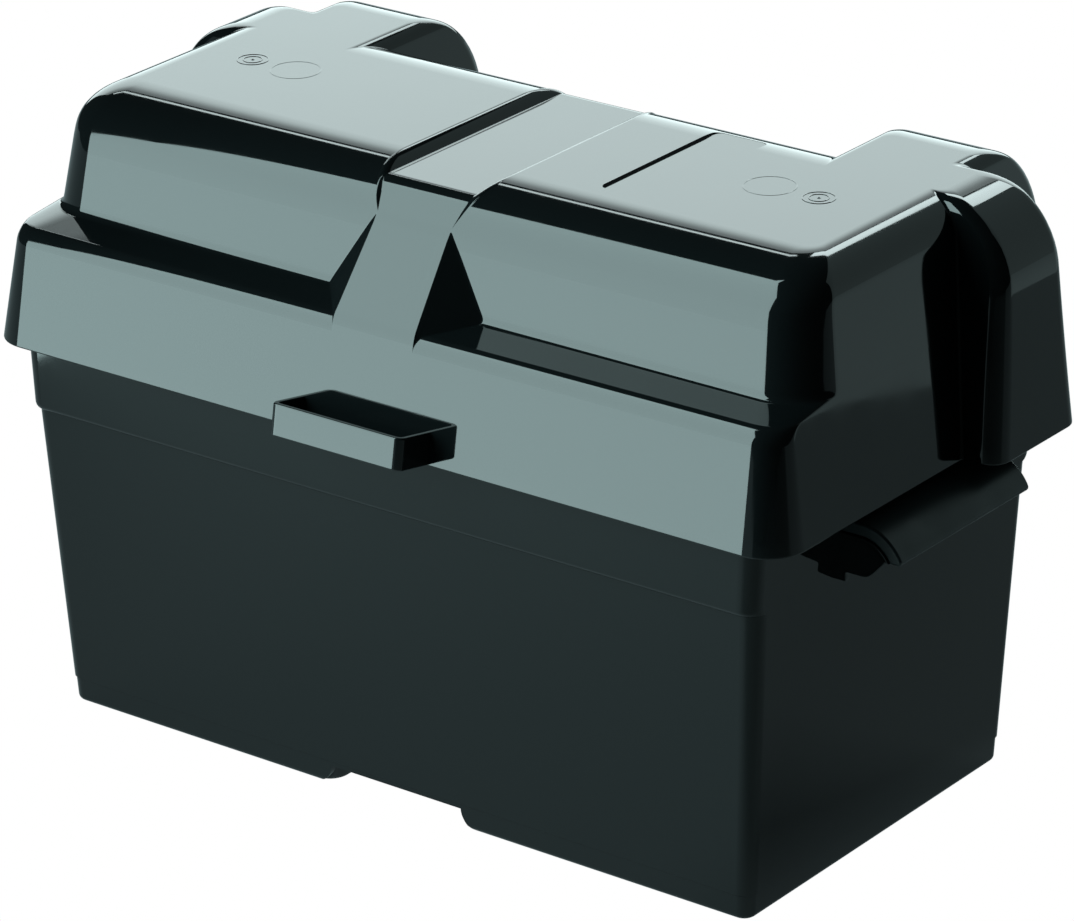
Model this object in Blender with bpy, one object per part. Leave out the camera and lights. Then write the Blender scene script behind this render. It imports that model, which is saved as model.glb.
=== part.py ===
"""Battery box: an open tub with moulded end handles, two clip-on grips and a lift-off lid.

The origin is the bottom centre of the box. X runs along its length, -Y is the front with the
strap loop, +Z is up. Every length is in metres and is written once, in the list below.
"""
import math

import bmesh
import bpy
from mathutils import Matrix, Vector

# General sizes shared by the mouldings
WALL = 0.0025               # thickness of every moulded wall
FIT = 0.0003                # clearance between two pieces that touch
OVERRUN = 0.004             # how far a cutter passes the face it cuts
ARC_STEPS = 4               # facets in a rounded corner

# Tub, measured on its outside
TUB_HEIGHT = 0.180
RIM_HALF_LENGTH = 0.1936
RIM_HALF_DEPTH = 0.1031
END_DRAFT = math.radians(3.36)
SIDE_DRAFT = math.radians(2.41)
RIM_CORNER_RADIUS = 0.0085
FOOT_CORNER_RADIUS = 0.0065
STEP_HEIGHT = 0.1405        # height of the step in the long walls
STEP_OUT = 0.0031
STEP_ROUND = 0.0035
STEP_LEVEL_SHARES = (0.0, 0.12, 0.45, 1.0)   # rings over the rounded step
FOOT_HEIGHT = 0.0112        # up to the fine line round the foot
FOOT_INSET = 0.0006
FOOT_EDGE_RADIUS = 0.0025
FLOOR_THICKNESS = 0.003
FLOOR_RIB_THICKNESS = 0.0025
FLOOR_RIB_PLACE_SHARES = (0.42, 0.64, 0.86)   # along half the length, on both sides

# Strap channel under the tub, between the two feet
CHANNEL_HALF_WIDTH = 0.035  # at its ceiling
CHANNEL_HEIGHT = 0.0092
FOOT_END_RUN = 0.001        # how far the end of a foot draws back towards the floor
FOOT_END_CORNER = 0.0085    # its corner at the long walls is rounded by this much more

# End handles, moulded on the tub, and the grips that clip over them
HANDLE_HALF_WIDTH = 0.0475
HANDLE_REACH = 0.0331       # from the rim line of the end wall to the outside of the grip
HANDLE_RADIUS = 0.022       # outside of the grip
HANDLE_DROP = 0.0145        # from the top of the grip down to its lip
HANDLE_GAP = 0.004          # between the lid's skirt and the top of the grip
GRIP_THICKNESS = 0.0058
GRIP_INSET = 0.0002         # how much shorter the grip is than the handle, at each end
GRIP_ROOT = 0.0015          # bare handle between the end wall and the grip
GRIP_LIP_RADIUS = 0.0018
WEB_DEPTH = 0.0232          # depth of the flat lower edge of a web, below the grip's top
WEB_REACH = 0.0178          # how far out that edge goes
WEB_ROUND = 0.009
WEB_FOOT_DEPTH = 0.0274     # the narrow rib at the root of each web goes deeper
WEB_FOOT_REACH = 0.0068

# Lid skirt
SKIRT_LAP = 0.0091          # how far the skirt hangs below the rim
SKIRT_GAP_SIDE = 0.0036     # between the rim and the inside of the skirt, long sides
SKIRT_GAP_END = 0.0123
SKIRT_HEIGHT = 0.0501
SKIRT_SIDE_DRAFT = math.radians(10.5)
SKIRT_END_DRAFT = math.radians(8.4)
SKIRT_CORNER_RADIUS = 0.0156
LEDGE_CORNER_RADIUS = 0.009
LEDGE_WIDTH = 0.022
LEDGE_RISE = 0.0038
LEDGE_EDGE_RADIUS = 0.003

# Raised top of the lid
TOP_RISE = 0.0509           # from the root of the ledge to the flat top
TOP_LEAN = math.radians(10.5)
TOP_SIDE_RADIUS = 0.018     # of the rounded edge along the front and the back
TOP_END_RADIUS = 0.022
TOP_CORNER_RADIUS = 0.022
TOP_FLAT_CORNER_RADIUS = 0.006
TOP_STEPS = 6               # facets over the rounded edge of the top
WALL_LEVEL_SHARES = (0.25, 0.5, 0.75)   # rings between the ledge and the point of the pockets

# Strap channel over the lid, and the gusset below each of its ends
TRACK_HALF_WIDTH = 0.0290
TRACK_FLOOR_HALF_WIDTH = 0.0226
TRACK_DEPTH = 0.0044
TRACK_TURN_SHARE = 0.3      # of the height over the pockets in which the inner wall changes side
GUSSET_HALF_WIDTH = 0.0211
GUSSET_APEX_HALF_WIDTH = 0.0191
GUSSET_ROOT_HALF_WIDTH = 0.0405
GUSSET_APEX_HEIGHT = 0.0379  # from the ledge up to the point of each pocket
GUSSET_STEPS = 3            # facets across a gusset's side wall and the wall of the track

# Cable hoods, one on each end and two at the back
HOOD_SIDE_RADIUS = 0.007    # between the sides of a hood and its top
HOOD_CORNER_RADIUS = 0.010
HOOD_TOP_CORNER_RADIUS = 0.005
HOOD_LEAST_CORNER_RADIUS = 0.00125
END_HOOD_REACH = 0.0170     # beyond the skirt, at its lower edge
END_HOOD_ARCH_RADIUS = 0.037
END_HOOD_DRAFT = math.radians(4.7)
END_HOOD_NEAR_DRAFT = math.radians(8.8)
END_HOOD_FAR_DRAFT = math.radians(4.5)
END_HOOD_CORNER_GAP = 0.0242   # from the back of the skirt to the far side, at the lower edge
END_HOOD_WIDTH = 0.0642
BACK_HOOD_REACH = 0.0225
BACK_HOOD_ARCH_RADIUS = 0.043
BACK_HOOD_DRAFT = math.radians(2.2)
BACK_HOOD_SIDE_DRAFT = math.radians(5.3)
BACK_HOOD_CORNER_GAP = 0.0244  # from the end of the skirt to the outer side, at the lower edge
BACK_HOOD_WIDTH = 0.073
NOTCH_RADIUS = 0.004        # inside corner where two hoods meet
NOTCH_FILL_SHARE = 0.9      # the most that corner takes of the short straight beside it
CORNER_LEDGE_SHARE = 0.4    # of the skirt's corner between them, where its ledge reaches full height

# Shallow label recess on the right half of the top
LABEL_CENTRE_X = 0.0815
LABEL_CENTRE_Y = 0.008
LABEL_LENGTH = 0.083
LABEL_WIDTH = 0.027
LABEL_DEPTH = 0.0005
LABEL_CORNER_RADIUS = 0.004

# Strap loop on the front of the skirt
LOOP_HALF_WIDTH = 0.0345
LOOP_DEPTH = 0.0200
LOOP_HEIGHT = 0.0140
LOOP_LIFT = 0.0005          # above the lower edge of the skirt
LOOP_WALL = 0.0026
LOOP_CORNER_RADIUS = 0.004

# Seat ribs inside the lid, which rest on the rim
RIB_THICKNESS = 0.0024
RIB_REACH = 0.008
FRONT_RIB_PLACE_SHARES = (-0.78, -0.36, 0.36, 0.78)   # along half the length
BACK_RIB_PLACE_SHARES = (-0.5, -0.28, 0.28, 0.5)
END_RIB_PLACE_SHARES = (-0.6, 0.0)

# Derived levels and sizes
SKIRT_BOTTOM = TUB_HEIGHT - SKIRT_LAP
LEDGE_EDGE = SKIRT_BOTTOM + SKIRT_HEIGHT
LEDGE_ROOT = LEDGE_EDGE + LEDGE_RISE
TOP = LEDGE_ROOT + TOP_RISE
TRACK_FLOOR = TOP - TRACK_DEPTH
APEX = LEDGE_EDGE + GUSSET_APEX_HEIGHT
SKIRT_HALF_LENGTH = RIM_HALF_LENGTH + SKIRT_GAP_END + WALL
SKIRT_HALF_DEPTH = RIM_HALF_DEPTH + SKIRT_GAP_SIDE + WALL
HANDLE_TOP = SKIRT_BOTTOM - HANDLE_GAP
FLANGE_RADIUS = HANDLE_RADIUS - GRIP_THICKNESS - FIT


# Scene helpers

def clear_scene():
    for item in list(bpy.data.objects):
        bpy.data.objects.remove(item, do_unlink=True)


def make_collection(name):
    collection = bpy.data.collections.new(name)
    bpy.context.scene.collection.children.link(collection)
    return collection


def make_material(name, colour, roughness):
    material = bpy.data.materials.new(name)
    material.use_nodes = True
    shader = material.node_tree.nodes["Principled BSDF"]
    shader.inputs["Base Color"].default_value = (*colour, 1.0)
    shader.inputs["Roughness"].default_value = roughness
    shader.inputs["Metallic"].default_value = 0.0
    return material


def add_object(name, mesh, collection):
    item = bpy.data.objects.new(name, mesh)
    collection.objects.link(item)
    return item


def mark_as_cutter(item):
    item.hide_render = True
    item.display_type = 'WIRE'


def boolean(item, operation, cutter):
    modifier = item.modifiers.new(operation.title() + " " + cutter.name, 'BOOLEAN')
    modifier.operation = operation
    modifier.solver = 'EXACT'
    modifier.object = cutter
    mark_as_cutter(cutter)


def prism(name, outline, half_thickness, place, collection):
    """A flat outline as a filled 2D curve, extruded both ways, placed, then made a mesh."""
    curve = bpy.data.curves.new(name, 'CURVE')
    curve.dimensions = '2D'
    curve.fill_mode = 'BOTH'
    curve.extrude = half_thickness
    spline = curve.splines.new('POLY')
    spline.points.add(len(outline) - 1)
    for point, (u, v) in zip(spline.points, outline):
        point.co = (u, v, 0.0, 1.0)
    spline.use_cyclic_u = True
    drawn = add_object(name, curve, collection)
    drawn.matrix_world = place
    bpy.context.view_layer.update()
    evaluated = drawn.evaluated_get(bpy.context.evaluated_depsgraph_get())
    mesh = bpy.data.meshes.new_from_object(evaluated)
    weld = bmesh.new()
    weld.from_mesh(mesh)
    bmesh.ops.remove_doubles(weld, verts=weld.verts, dist=FIT / 100)
    bmesh.ops.recalc_face_normals(weld, faces=weld.faces)
    weld.to_mesh(mesh)
    weld.free()
    solid = bpy.data.objects.new(name, mesh)
    solid.matrix_world = drawn.matrix_world
    bpy.data.objects.remove(drawn, do_unlink=True)
    collection.objects.link(solid)
    solid.name = name
    return solid


def standing_plate(y):
    """Places an outline drawn in X and Z as a plate whose thickness runs along Y."""
    return Matrix.Translation((0.0, y, 0.0)) @ Matrix.Rotation(math.radians(90), 4, 'X')


def blend(low, high, share):
    return low + (high - low) * share


def arc(centre_u, centre_v, radius, start, end, steps):
    """Points of an arc from one angle to another, both in degrees."""
    points = []
    for step in range(steps + 1):
        angle = math.radians(start + (end - start) * step / steps)
        points.append((centre_u + radius * math.cos(angle), centre_v + radius * math.sin(angle)))
    return points


def rounded_rectangle(half_length, half_depth, radius, steps=ARC_STEPS):
    """A rectangle with rounded corners, counter-clockwise from its front right corner."""
    points = []
    for sign_x, sign_y, start in ((1, -1, -90), (1, 1, 0), (-1, 1, 90), (-1, -1, 180)):
        points += arc(sign_x * (half_length - radius), sign_y * (half_depth - radius),
                      radius, start, start + 90, steps)
    return points


def round_outline(corners):
    """Turns corners (x, y, radius, steps) into points, each corner as an arc of its own."""
    points = []
    count = len(corners)
    for index, (x, y, radius, steps) in enumerate(corners):
        here = Vector((x, y))
        if steps == 0:
            points.append((x, y))
            continue
        before = Vector(corners[index - 1][:2])
        after = Vector(corners[(index + 1) % count][:2])
        inward = (before - here).normalized()
        outward = (after - here).normalized()
        half_angle = inward.angle(outward) / 2
        run = radius / math.tan(half_angle)
        start = here + inward * run
        end = here + outward * run
        centre = here + (inward + outward).normalized() * (radius / math.sin(half_angle))
        first = start - centre
        last = end - centre
        turn = first.angle_signed(last)
        for step in range(steps + 1):
            swing = Matrix.Rotation(-turn * step / steps, 2)
            points.append(tuple(centre + swing @ first))
    return points


def loft(name, rings, collection, cap_first=True, cap_last=True):
    """Joins rings of points, each of the same count and turning counter-clockwise."""
    form = bmesh.new()
    grid = [[form.verts.new(point) for point in ring] for ring in rings]
    count = len(rings[0])
    for lower, upper in zip(grid, grid[1:]):
        for index in range(count):
            following = (index + 1) % count
            form.faces.new((lower[index], lower[following], upper[following], upper[index]))
    if cap_first:
        form.faces.new(list(reversed(grid[0])))
    if cap_last:
        form.faces.new(grid[-1])
    mesh = bpy.data.meshes.new(name)
    form.to_mesh(mesh)
    form.free()
    return add_object(name, mesh, collection)


# Tub

def tub_section(z, inset):
    """Half length, half depth and corner radius of the tub at a height, moved in by inset."""
    share = z / TUB_HEIGHT
    half_length = RIM_HALF_LENGTH - math.tan(END_DRAFT) * (TUB_HEIGHT - z)
    step_depth = RIM_HALF_DEPTH - STEP_OUT
    radius = blend(FOOT_CORNER_RADIUS, RIM_CORNER_RADIUS, share)
    if z >= STEP_HEIGHT:
        climb = min((z - STEP_HEIGHT) / STEP_ROUND, 1.0)
        half_depth = step_depth + STEP_OUT * math.sqrt(1 - (1 - climb) ** 2)
    else:
        half_depth = step_depth - math.tan(SIDE_DRAFT) * (STEP_HEIGHT - z)
    return half_length - inset, half_depth - inset, radius - inset


def tub_ring(z, inset):
    half_length, half_depth, radius = tub_section(z, inset)
    return [(x, y, z) for x, y in rounded_rectangle(half_length, half_depth, radius)]


def tub_rings():
    """The outside from the foot up to the rim, then the inside down to the floor."""
    rings = []
    for step in range(ARC_STEPS):
        angle = math.pi / 2 * step / ARC_STEPS
        inset = FOOT_INSET + FOOT_EDGE_RADIUS * (1 - math.sin(angle))
        rings.append(tub_ring(FOOT_EDGE_RADIUS * (1 - math.cos(angle)), inset))
    rings.append(tub_ring(FOOT_HEIGHT, FOOT_INSET))
    rings.append(tub_ring(FOOT_HEIGHT + FOOT_INSET, 0.0))
    step_levels = [STEP_HEIGHT + STEP_ROUND * share for share in STEP_LEVEL_SHARES]
    for level in step_levels:
        rings.append(tub_ring(level, 0.0))
    rings.append(tub_ring(TUB_HEIGHT, 0.0))
    rings.append(tub_ring(TUB_HEIGHT, WALL))
    for level in reversed(step_levels):
        rings.append(tub_ring(level, WALL))
    rings.append(tub_ring(FLOOR_THICKNESS + FOOT_EDGE_RADIUS, WALL))
    rings.append(tub_ring(FLOOR_THICKNESS, WALL + FOOT_EDGE_RADIUS))
    return rings


def channel_outline(grow, run, base, ceiling):
    """Section of the strap channel in X and Z; grow widens it, run rounds the ends of the feet."""
    top_half = CHANNEL_HALF_WIDTH + grow
    side = []
    for step in range(ARC_STEPS + 1):
        angle = math.pi / 2 * step / ARC_STEPS
        x = top_half + run * (1 - math.sin(angle))
        side.append((x, ceiling - (ceiling - base) * math.cos(angle)))
    return side + [(-x, z) for x, z in reversed(side)]


def channel_rings():
    """Sections of the channel from the back to the front, flared round the corners of the feet.
    Each goes on below the floor, so that nothing of the feet is left between them."""
    outer = tub_section(0.0, FOOT_INSET + FOOT_EDGE_RADIUS)[1]
    places = [(outer + FOOT_EDGE_RADIUS + OVERRUN, FOOT_END_CORNER)]
    for step in range(ARC_STEPS + 1):
        angle = math.pi / 2 * (1 - step / ARC_STEPS)
        places.append((outer - FOOT_END_CORNER * (1 - math.sin(angle)),
                       FOOT_END_CORNER * (1 - math.cos(angle))))
    places += [(-y, flare) for y, flare in reversed(places)]
    rings = []
    for y, flare in places:
        section = channel_outline(0.0, FOOT_END_RUN + flare, 0.0, CHANNEL_HEIGHT)
        below = [(section[0][0], -OVERRUN)]
        below_left = [(section[-1][0], -OVERRUN)]
        rings.append([(x, y, z) for x, z in below + section + below_left])
    return rings


def floor_rib_outline(middle, head):
    """Rib on the floor of the tub in X and Z, level with the hump over the strap channel."""
    half = FLOOR_RIB_THICKNESS / 2
    foot = FLOOR_THICKNESS / 2
    return [(middle - half, foot), (middle + half, foot), (middle + half, head),
            (middle - half, head)]


def end_wall_x(z):
    return tub_section(z, 0.0)[0]


def handle_centre():
    """Centre of the handle's curve in X and Z, on the right-hand end."""
    return RIM_HALF_LENGTH + HANDLE_REACH - HANDLE_RADIUS, HANDLE_TOP - HANDLE_RADIUS


def lip_angle(radius):
    """Angle above the horizontal at which a curve of this radius reaches the lip."""
    return math.degrees(math.asin((HANDLE_RADIUS - HANDLE_DROP) / radius))


def flange_outline():
    """Curved plate of the handle in X and Z: out from the wall, round and down to its lip."""
    centre_x, centre_z = handle_centre()
    root = end_wall_x(HANDLE_TOP) - WALL / 2
    outer = FLANGE_RADIUS
    inner = FLANGE_RADIUS - WALL
    points = [(root, centre_z + outer)]
    points += arc(centre_x, centre_z, outer, 90, lip_angle(outer), 2 * ARC_STEPS)
    points += arc(centre_x, centre_z, inner, lip_angle(inner), 90, 2 * ARC_STEPS)
    points.append((root, centre_z + inner))
    return points


def web_outline():
    """End web of the handle: it closes the curve and stands on a narrow rib at the wall."""
    centre_x, centre_z = handle_centre()
    middle = FLANGE_RADIUS - WALL / 2
    lower = HANDLE_TOP - WEB_DEPTH
    foot = HANDLE_TOP - WEB_FOOT_DEPTH
    wall = end_wall_x(lower)
    curve = arc(centre_x, centre_z, middle, 90, lip_angle(middle), 2 * ARC_STEPS)
    corners = [(wall - WALL / 2, centre_z + middle, 0.0, 0)]
    corners += [(x, z, 0.0, 0) for x, z in curve]
    corners.append((wall + WEB_REACH, lower, WEB_ROUND, ARC_STEPS))
    corners.append((wall + WEB_FOOT_REACH, lower, 0.0, 0))
    corners.append((wall + WEB_FOOT_REACH, foot, 0.0, 0))
    corners.append((end_wall_x(foot) - WALL / 2, foot, 0.0, 0))
    return round_outline(corners)


def grip_outline():
    """Grip in X and Z: a thick pad over the handle's curve, down to the same lip."""
    centre_x, centre_z = handle_centre()
    root = end_wall_x(HANDLE_TOP) + GRIP_ROOT
    inner = HANDLE_RADIUS - GRIP_THICKNESS
    lip = HANDLE_TOP - HANDLE_DROP
    angle = math.degrees(GRIP_LIP_RADIUS / HANDLE_RADIUS)
    outer_lip = centre_x + HANDLE_RADIUS * math.cos(math.radians(lip_angle(HANDLE_RADIUS)))
    inner_lip = centre_x + inner * math.cos(math.radians(lip_angle(inner)))
    curve = arc(centre_x, centre_z, HANDLE_RADIUS, 90, lip_angle(HANDLE_RADIUS) + angle,
                2 * ARC_STEPS)
    corners = [(root, centre_z + HANDLE_RADIUS, GRIP_LIP_RADIUS, ARC_STEPS)]
    corners += [(x, z, 0.0, 0) for x, z in curve]
    corners.append((outer_lip, lip, 0.0, 0))
    corners.append((inner_lip, lip, 0.0, 0))
    corners += [(x, z, 0.0, 0) for x, z in
                arc(centre_x, centre_z, inner, lip_angle(inner), 90, 2 * ARC_STEPS)[1:]]
    corners.append((root, centre_z + inner, 0.0, 0))
    return round_outline(corners)


def mirrored(outline, side):
    """The outline for the right (1) or left (-1) end of the box."""
    return [(side * x, z) for x, z in outline]


def build_tub(parts, cutters, material):
    tub = loft("battery_tub", tub_rings(), parts)
    tub.data.materials.append(material)
    hump_half = RIM_HALF_DEPTH - STEP_OUT - WALL - math.tan(SIDE_DRAFT) * STEP_HEIGHT + WALL / 2
    hump_top = CHANNEL_HEIGHT + FLOOR_THICKNESS
    hump = prism("channel_hump", channel_outline(FLOOR_THICKNESS, FOOT_END_RUN,
                                                 FLOOR_THICKNESS / 2, hump_top),
                 hump_half, standing_plate(0.0), cutters)
    boolean(tub, 'UNION', hump)
    for share in FLOOR_RIB_PLACE_SHARES:
        for side in (-1, 1):
            middle = side * share * RIM_HALF_LENGTH
            rib = prism("floor_rib", floor_rib_outline(middle, hump_top), hump_half,
                        standing_plate(0.0), cutters)
            boolean(tub, 'UNION', rib)
    channel = loft("under_channel", channel_rings(), cutters)
    boolean(tub, 'DIFFERENCE', channel)
    for side, label in ((1, "right"), (-1, "left")):
        flange = prism(label + "_handle_flange", mirrored(flange_outline(), side),
                       HANDLE_HALF_WIDTH, standing_plate(0.0), cutters)
        boolean(tub, 'UNION', flange)
        for end in (-1, 1):
            web = prism(label + "_handle_web", mirrored(web_outline(), side), WALL / 2,
                        standing_plate(end * (HANDLE_HALF_WIDTH - WALL / 2)), cutters)
            boolean(tub, 'UNION', web)
    return tub


def build_grips(parts, material):
    for side, label in ((1, "right"), (-1, "left")):
        grip = prism(label + "_handle_grip", mirrored(grip_outline(), side),
                     HANDLE_HALF_WIDTH - GRIP_INSET, standing_plate(0.0), parts)
        grip.data.materials.append(material)


# Lid

def leaning_wall(foot, foot_level, lean, radius, z):
    """Distance of a wall that leans in as it rises and rounds over into the flat top."""
    tangent = TOP - radius + radius * math.sin(lean)
    if z <= tangent:
        return foot - math.tan(lean) * (z - foot_level)
    centre = foot - math.tan(lean) * (tangent - foot_level) - radius * math.cos(lean)
    rise = min(z - (TOP - radius), radius)
    return centre + math.sqrt(radius ** 2 - rise ** 2)


def skirt_length(z):
    return SKIRT_HALF_LENGTH - math.tan(SKIRT_END_DRAFT) * (z - SKIRT_BOTTOM)


def skirt_depth(z):
    return SKIRT_HALF_DEPTH - math.tan(SKIRT_SIDE_DRAFT) * (z - SKIRT_BOTTOM)


def skirt_corner(z):
    share = (z - SKIRT_BOTTOM) / SKIRT_HEIGHT
    return blend(SKIRT_CORNER_RADIUS, LEDGE_CORNER_RADIUS, share)


def top_length(z):
    return leaning_wall(skirt_length(LEDGE_ROOT), LEDGE_ROOT, SKIRT_END_DRAFT, TOP_END_RADIUS, z)


def top_depth(z):
    foot = skirt_depth(LEDGE_EDGE) - LEDGE_WIDTH
    return leaning_wall(foot, LEDGE_ROOT, TOP_LEAN, TOP_SIDE_RADIUS, z)


def hood_draw(draft, z):
    """How far a side of a hood has drawn in at a height: the hood narrows as it rises."""
    return -leaning_wall(0.0, SKIRT_BOTTOM, draft, HOOD_SIDE_RADIUS, z)


def hood_sizes(z, inset):
    """Places of the sides and faces of the end hood and of the back hood at a height."""
    end_far = SKIRT_HALF_DEPTH - END_HOOD_CORNER_GAP
    back_outer = SKIRT_HALF_LENGTH - BACK_HOOD_CORNER_GAP
    back_draw = hood_draw(BACK_HOOD_SIDE_DRAFT, z) + inset
    end_face = leaning_wall(SKIRT_HALF_LENGTH + END_HOOD_REACH, SKIRT_BOTTOM, END_HOOD_DRAFT,
                            END_HOOD_ARCH_RADIUS, z)
    back_face = leaning_wall(SKIRT_HALF_DEPTH + BACK_HOOD_REACH, SKIRT_BOTTOM, BACK_HOOD_DRAFT,
                             BACK_HOOD_ARCH_RADIUS, z)
    return {
        "end_near": end_far - END_HOOD_WIDTH + hood_draw(END_HOOD_NEAR_DRAFT, z) + inset,
        "end_far": end_far - hood_draw(END_HOOD_FAR_DRAFT, z) - inset,
        "end_face": end_face - inset,
        "back_inner": back_outer - BACK_HOOD_WIDTH + back_draw,
        "back_outer": back_outer - back_draw,
        "back_face": back_face - inset,
    }


def hood_corner_radius(z, inset):
    share = max((z - SKIRT_BOTTOM) / (TOP - SKIRT_BOTTOM), 0.0)
    radius = blend(HOOD_CORNER_RADIUS, HOOD_TOP_CORNER_RADIUS, share ** 2)
    return max(radius - inset, HOOD_LEAST_CORNER_RADIUS)


def top_corner_radius(z, inset):
    span = top_depth(LEDGE_ROOT) - top_depth(TOP)
    share = (top_depth(LEDGE_ROOT) - top_depth(z)) / span
    return blend(TOP_CORNER_RADIUS, TOP_FLAT_CORNER_RADIUS, share) - inset


def gusset_depth(z):
    """Sloping face of the gusset, from the ledge's edge to the point of the pockets and on."""
    foot = skirt_depth(LEDGE_EDGE)
    slope = (foot - top_depth(APEX)) / GUSSET_APEX_HEIGHT
    return foot - slope * (z - LEDGE_EDGE)


def lower_corners(z, inset):
    """Right half of the lid's outline below the ledge, from the front round to the back."""
    length = skirt_length(z) - inset
    depth = skirt_depth(z) - inset
    hood = hood_sizes(z, inset)
    round_hood = hood_corner_radius(z, inset)
    round_skirt = skirt_corner(z) - inset
    gusset = GUSSET_HALF_WIDTH - inset
    front = [(gusset, -depth, 0.0, 0)] * (GUSSET_STEPS + 1)
    back = [(gusset, depth, 0.0, 0)] * (GUSSET_STEPS + 1)
    return front + [
        (length, -depth, round_skirt, ARC_STEPS),
        (length, hood["end_near"], 0.0, 0),
        (hood["end_face"], hood["end_near"], round_hood, ARC_STEPS),
        (hood["end_face"], hood["end_far"], round_hood, ARC_STEPS),
        (length, hood["end_far"], 0.0, 0),
        (length, hood["end_far"], 0.0, 0),
        (length, depth, min(round_skirt, (depth - hood["end_far"]) / 2), ARC_STEPS),
        (hood["back_outer"], depth, 0.0, 0),
        (hood["back_outer"], depth, 0.0, 0),
        (hood["back_outer"], hood["back_face"], round_hood, ARC_STEPS),
        (hood["back_inner"], hood["back_face"], round_hood, ARC_STEPS),
        (hood["back_inner"], depth, 0.0, 0),
        (hood["back_inner"], depth, 0.0, 0),
    ] + back


def side_line(low_x, low_y, high_x, high_y):
    """Points across a gusset's side, from its front edge to its root."""
    points = []
    for step in range(GUSSET_STEPS + 1):
        share = step / GUSSET_STEPS
        points.append((blend(low_x, high_x, share), blend(low_y, high_y, share), 0.0, 0))
    return points


def gusset_places(z, inset):
    """Half widths of the gusset or track at its face and at its root, at a height."""
    climb = min((z - LEDGE_EDGE) / GUSSET_APEX_HEIGHT, 1.0)
    root_climb = min((z - LEDGE_ROOT) / (APEX - LEDGE_ROOT), 1.0)
    over = max((z - APEX) / (TOP - APEX), 0.0)
    turn = min(over / TRACK_TURN_SHARE, 1.0)
    edge_x = blend(GUSSET_HALF_WIDTH, GUSSET_APEX_HALF_WIDTH, climb)
    root_x = blend(GUSSET_ROOT_HALF_WIDTH, GUSSET_APEX_HALF_WIDTH, root_climb)
    edge_x = blend(edge_x, TRACK_FLOOR_HALF_WIDTH, over) + blend(-inset, inset, turn)
    root_x = blend(root_x, TRACK_HALF_WIDTH, over) + blend(-inset, inset, turn)
    return edge_x, root_x


def upper_corners(z, inset):
    """Right half of the lid's outline above the ledge, corner for corner with the lower one."""
    length = top_length(z) - inset
    depth = top_depth(z) - inset
    hood = hood_sizes(z, inset)
    edge = hood_sizes(LEDGE_EDGE, inset)
    round_hood = hood_corner_radius(z, inset)
    end_share = (skirt_length(LEDGE_EDGE) - edge["back_outer"]) / (edge["end_face"]
                                                                   - edge["back_outer"])
    outer_share = (skirt_depth(LEDGE_EDGE) - edge["end_far"]) / (edge["back_face"]
                                                                 - edge["end_far"])
    inner_share = (skirt_depth(LEDGE_EDGE) - top_depth(LEDGE_ROOT)) / (edge["back_face"]
                                                                       - top_depth(LEDGE_ROOT))
    nearest = min((hood["end_face"] - hood["back_outer"]) * end_share,
                  (hood["back_face"] - hood["end_far"]) * outer_share) * CORNER_LEDGE_SHARE
    notch = min(NOTCH_RADIUS, nearest * NOTCH_FILL_SHARE)
    edge_x, root_x = gusset_places(z, inset)
    edge_depth = gusset_depth(z) - inset
    front = side_line(edge_x, -edge_depth, root_x, -depth)
    back = side_line(root_x, depth, edge_x, edge_depth)
    return front + [
        (length, -depth, top_corner_radius(z, inset), ARC_STEPS),
        (length, hood["end_near"], 0.0, 0),
        (hood["end_face"], hood["end_near"], round_hood, ARC_STEPS),
        (hood["end_face"], hood["end_far"], round_hood, ARC_STEPS),
        (blend(hood["back_outer"], hood["end_face"], end_share), hood["end_far"], 0.0, 0),
        (blend(hood["back_outer"], hood["end_face"], end_share * CORNER_LEDGE_SHARE),
         hood["end_far"], 0.0, 0),
        (hood["back_outer"], hood["end_far"], notch, ARC_STEPS),
        (hood["back_outer"],
         blend(hood["end_far"], hood["back_face"], outer_share * CORNER_LEDGE_SHARE), 0.0, 0),
        (hood["back_outer"], blend(hood["end_far"], hood["back_face"], outer_share), 0.0, 0),
        (hood["back_outer"], hood["back_face"], round_hood, ARC_STEPS),
        (hood["back_inner"], hood["back_face"], round_hood, ARC_STEPS),
        (hood["back_inner"], blend(depth, hood["back_face"], inner_share), 0.0, 0),
        (hood["back_inner"], depth, 0.0, 0),
    ] + back


def whole_outline(half):
    """Both halves of an outline: the right one, then its mirror image back to the front."""
    left = [(-x, y, radius, steps) for x, y, radius, steps in reversed(half)]
    return round_outline(half + left)


def ledge_rings(inset):
    """The rounded edge of the skirt and the ledge up to the foot of the raised top."""
    inner = whole_outline(upper_corners(LEDGE_ROOT, inset))
    edge = whole_outline(lower_corners(LEDGE_EDGE, inset))
    below = whole_outline(lower_corners(LEDGE_EDGE - LEDGE_EDGE_RADIUS, inset))
    rings = []
    for step in range(ARC_STEPS):
        angle = math.pi / 2 * step / (ARC_STEPS - 1)
        drop = 1 - math.sin(angle)
        ring = []
        for (x, y), (low_x, low_y), (foot_x, foot_y) in zip(edge, below, inner):
            across = Vector((foot_x - x, foot_y - y))
            radius = LEDGE_EDGE_RADIUS if across.length > LEDGE_WIDTH / 2 else 0.0
            start = Vector((x, y)).lerp(Vector((low_x, low_y)), drop if radius else 0.0)
            move = start + across.normalized() * (radius * (1 - math.cos(angle)))
            ring.append((move.x, move.y, LEDGE_EDGE - radius * drop))
        rings.append(ring)
    rings.append([(x, y, LEDGE_ROOT) for x, y in inner])
    return rings


def top_levels():
    """Heights of the rings over the rounded top edge, closer together near the flat top."""
    start = math.degrees(TOP_LEAN)
    levels = []
    for step in range(1, TOP_STEPS + 1):
        angle = math.radians(start + (90 - start) * step / TOP_STEPS)
        levels.append(TOP - TOP_END_RADIUS * (1 - math.sin(angle)))
    return levels


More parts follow.
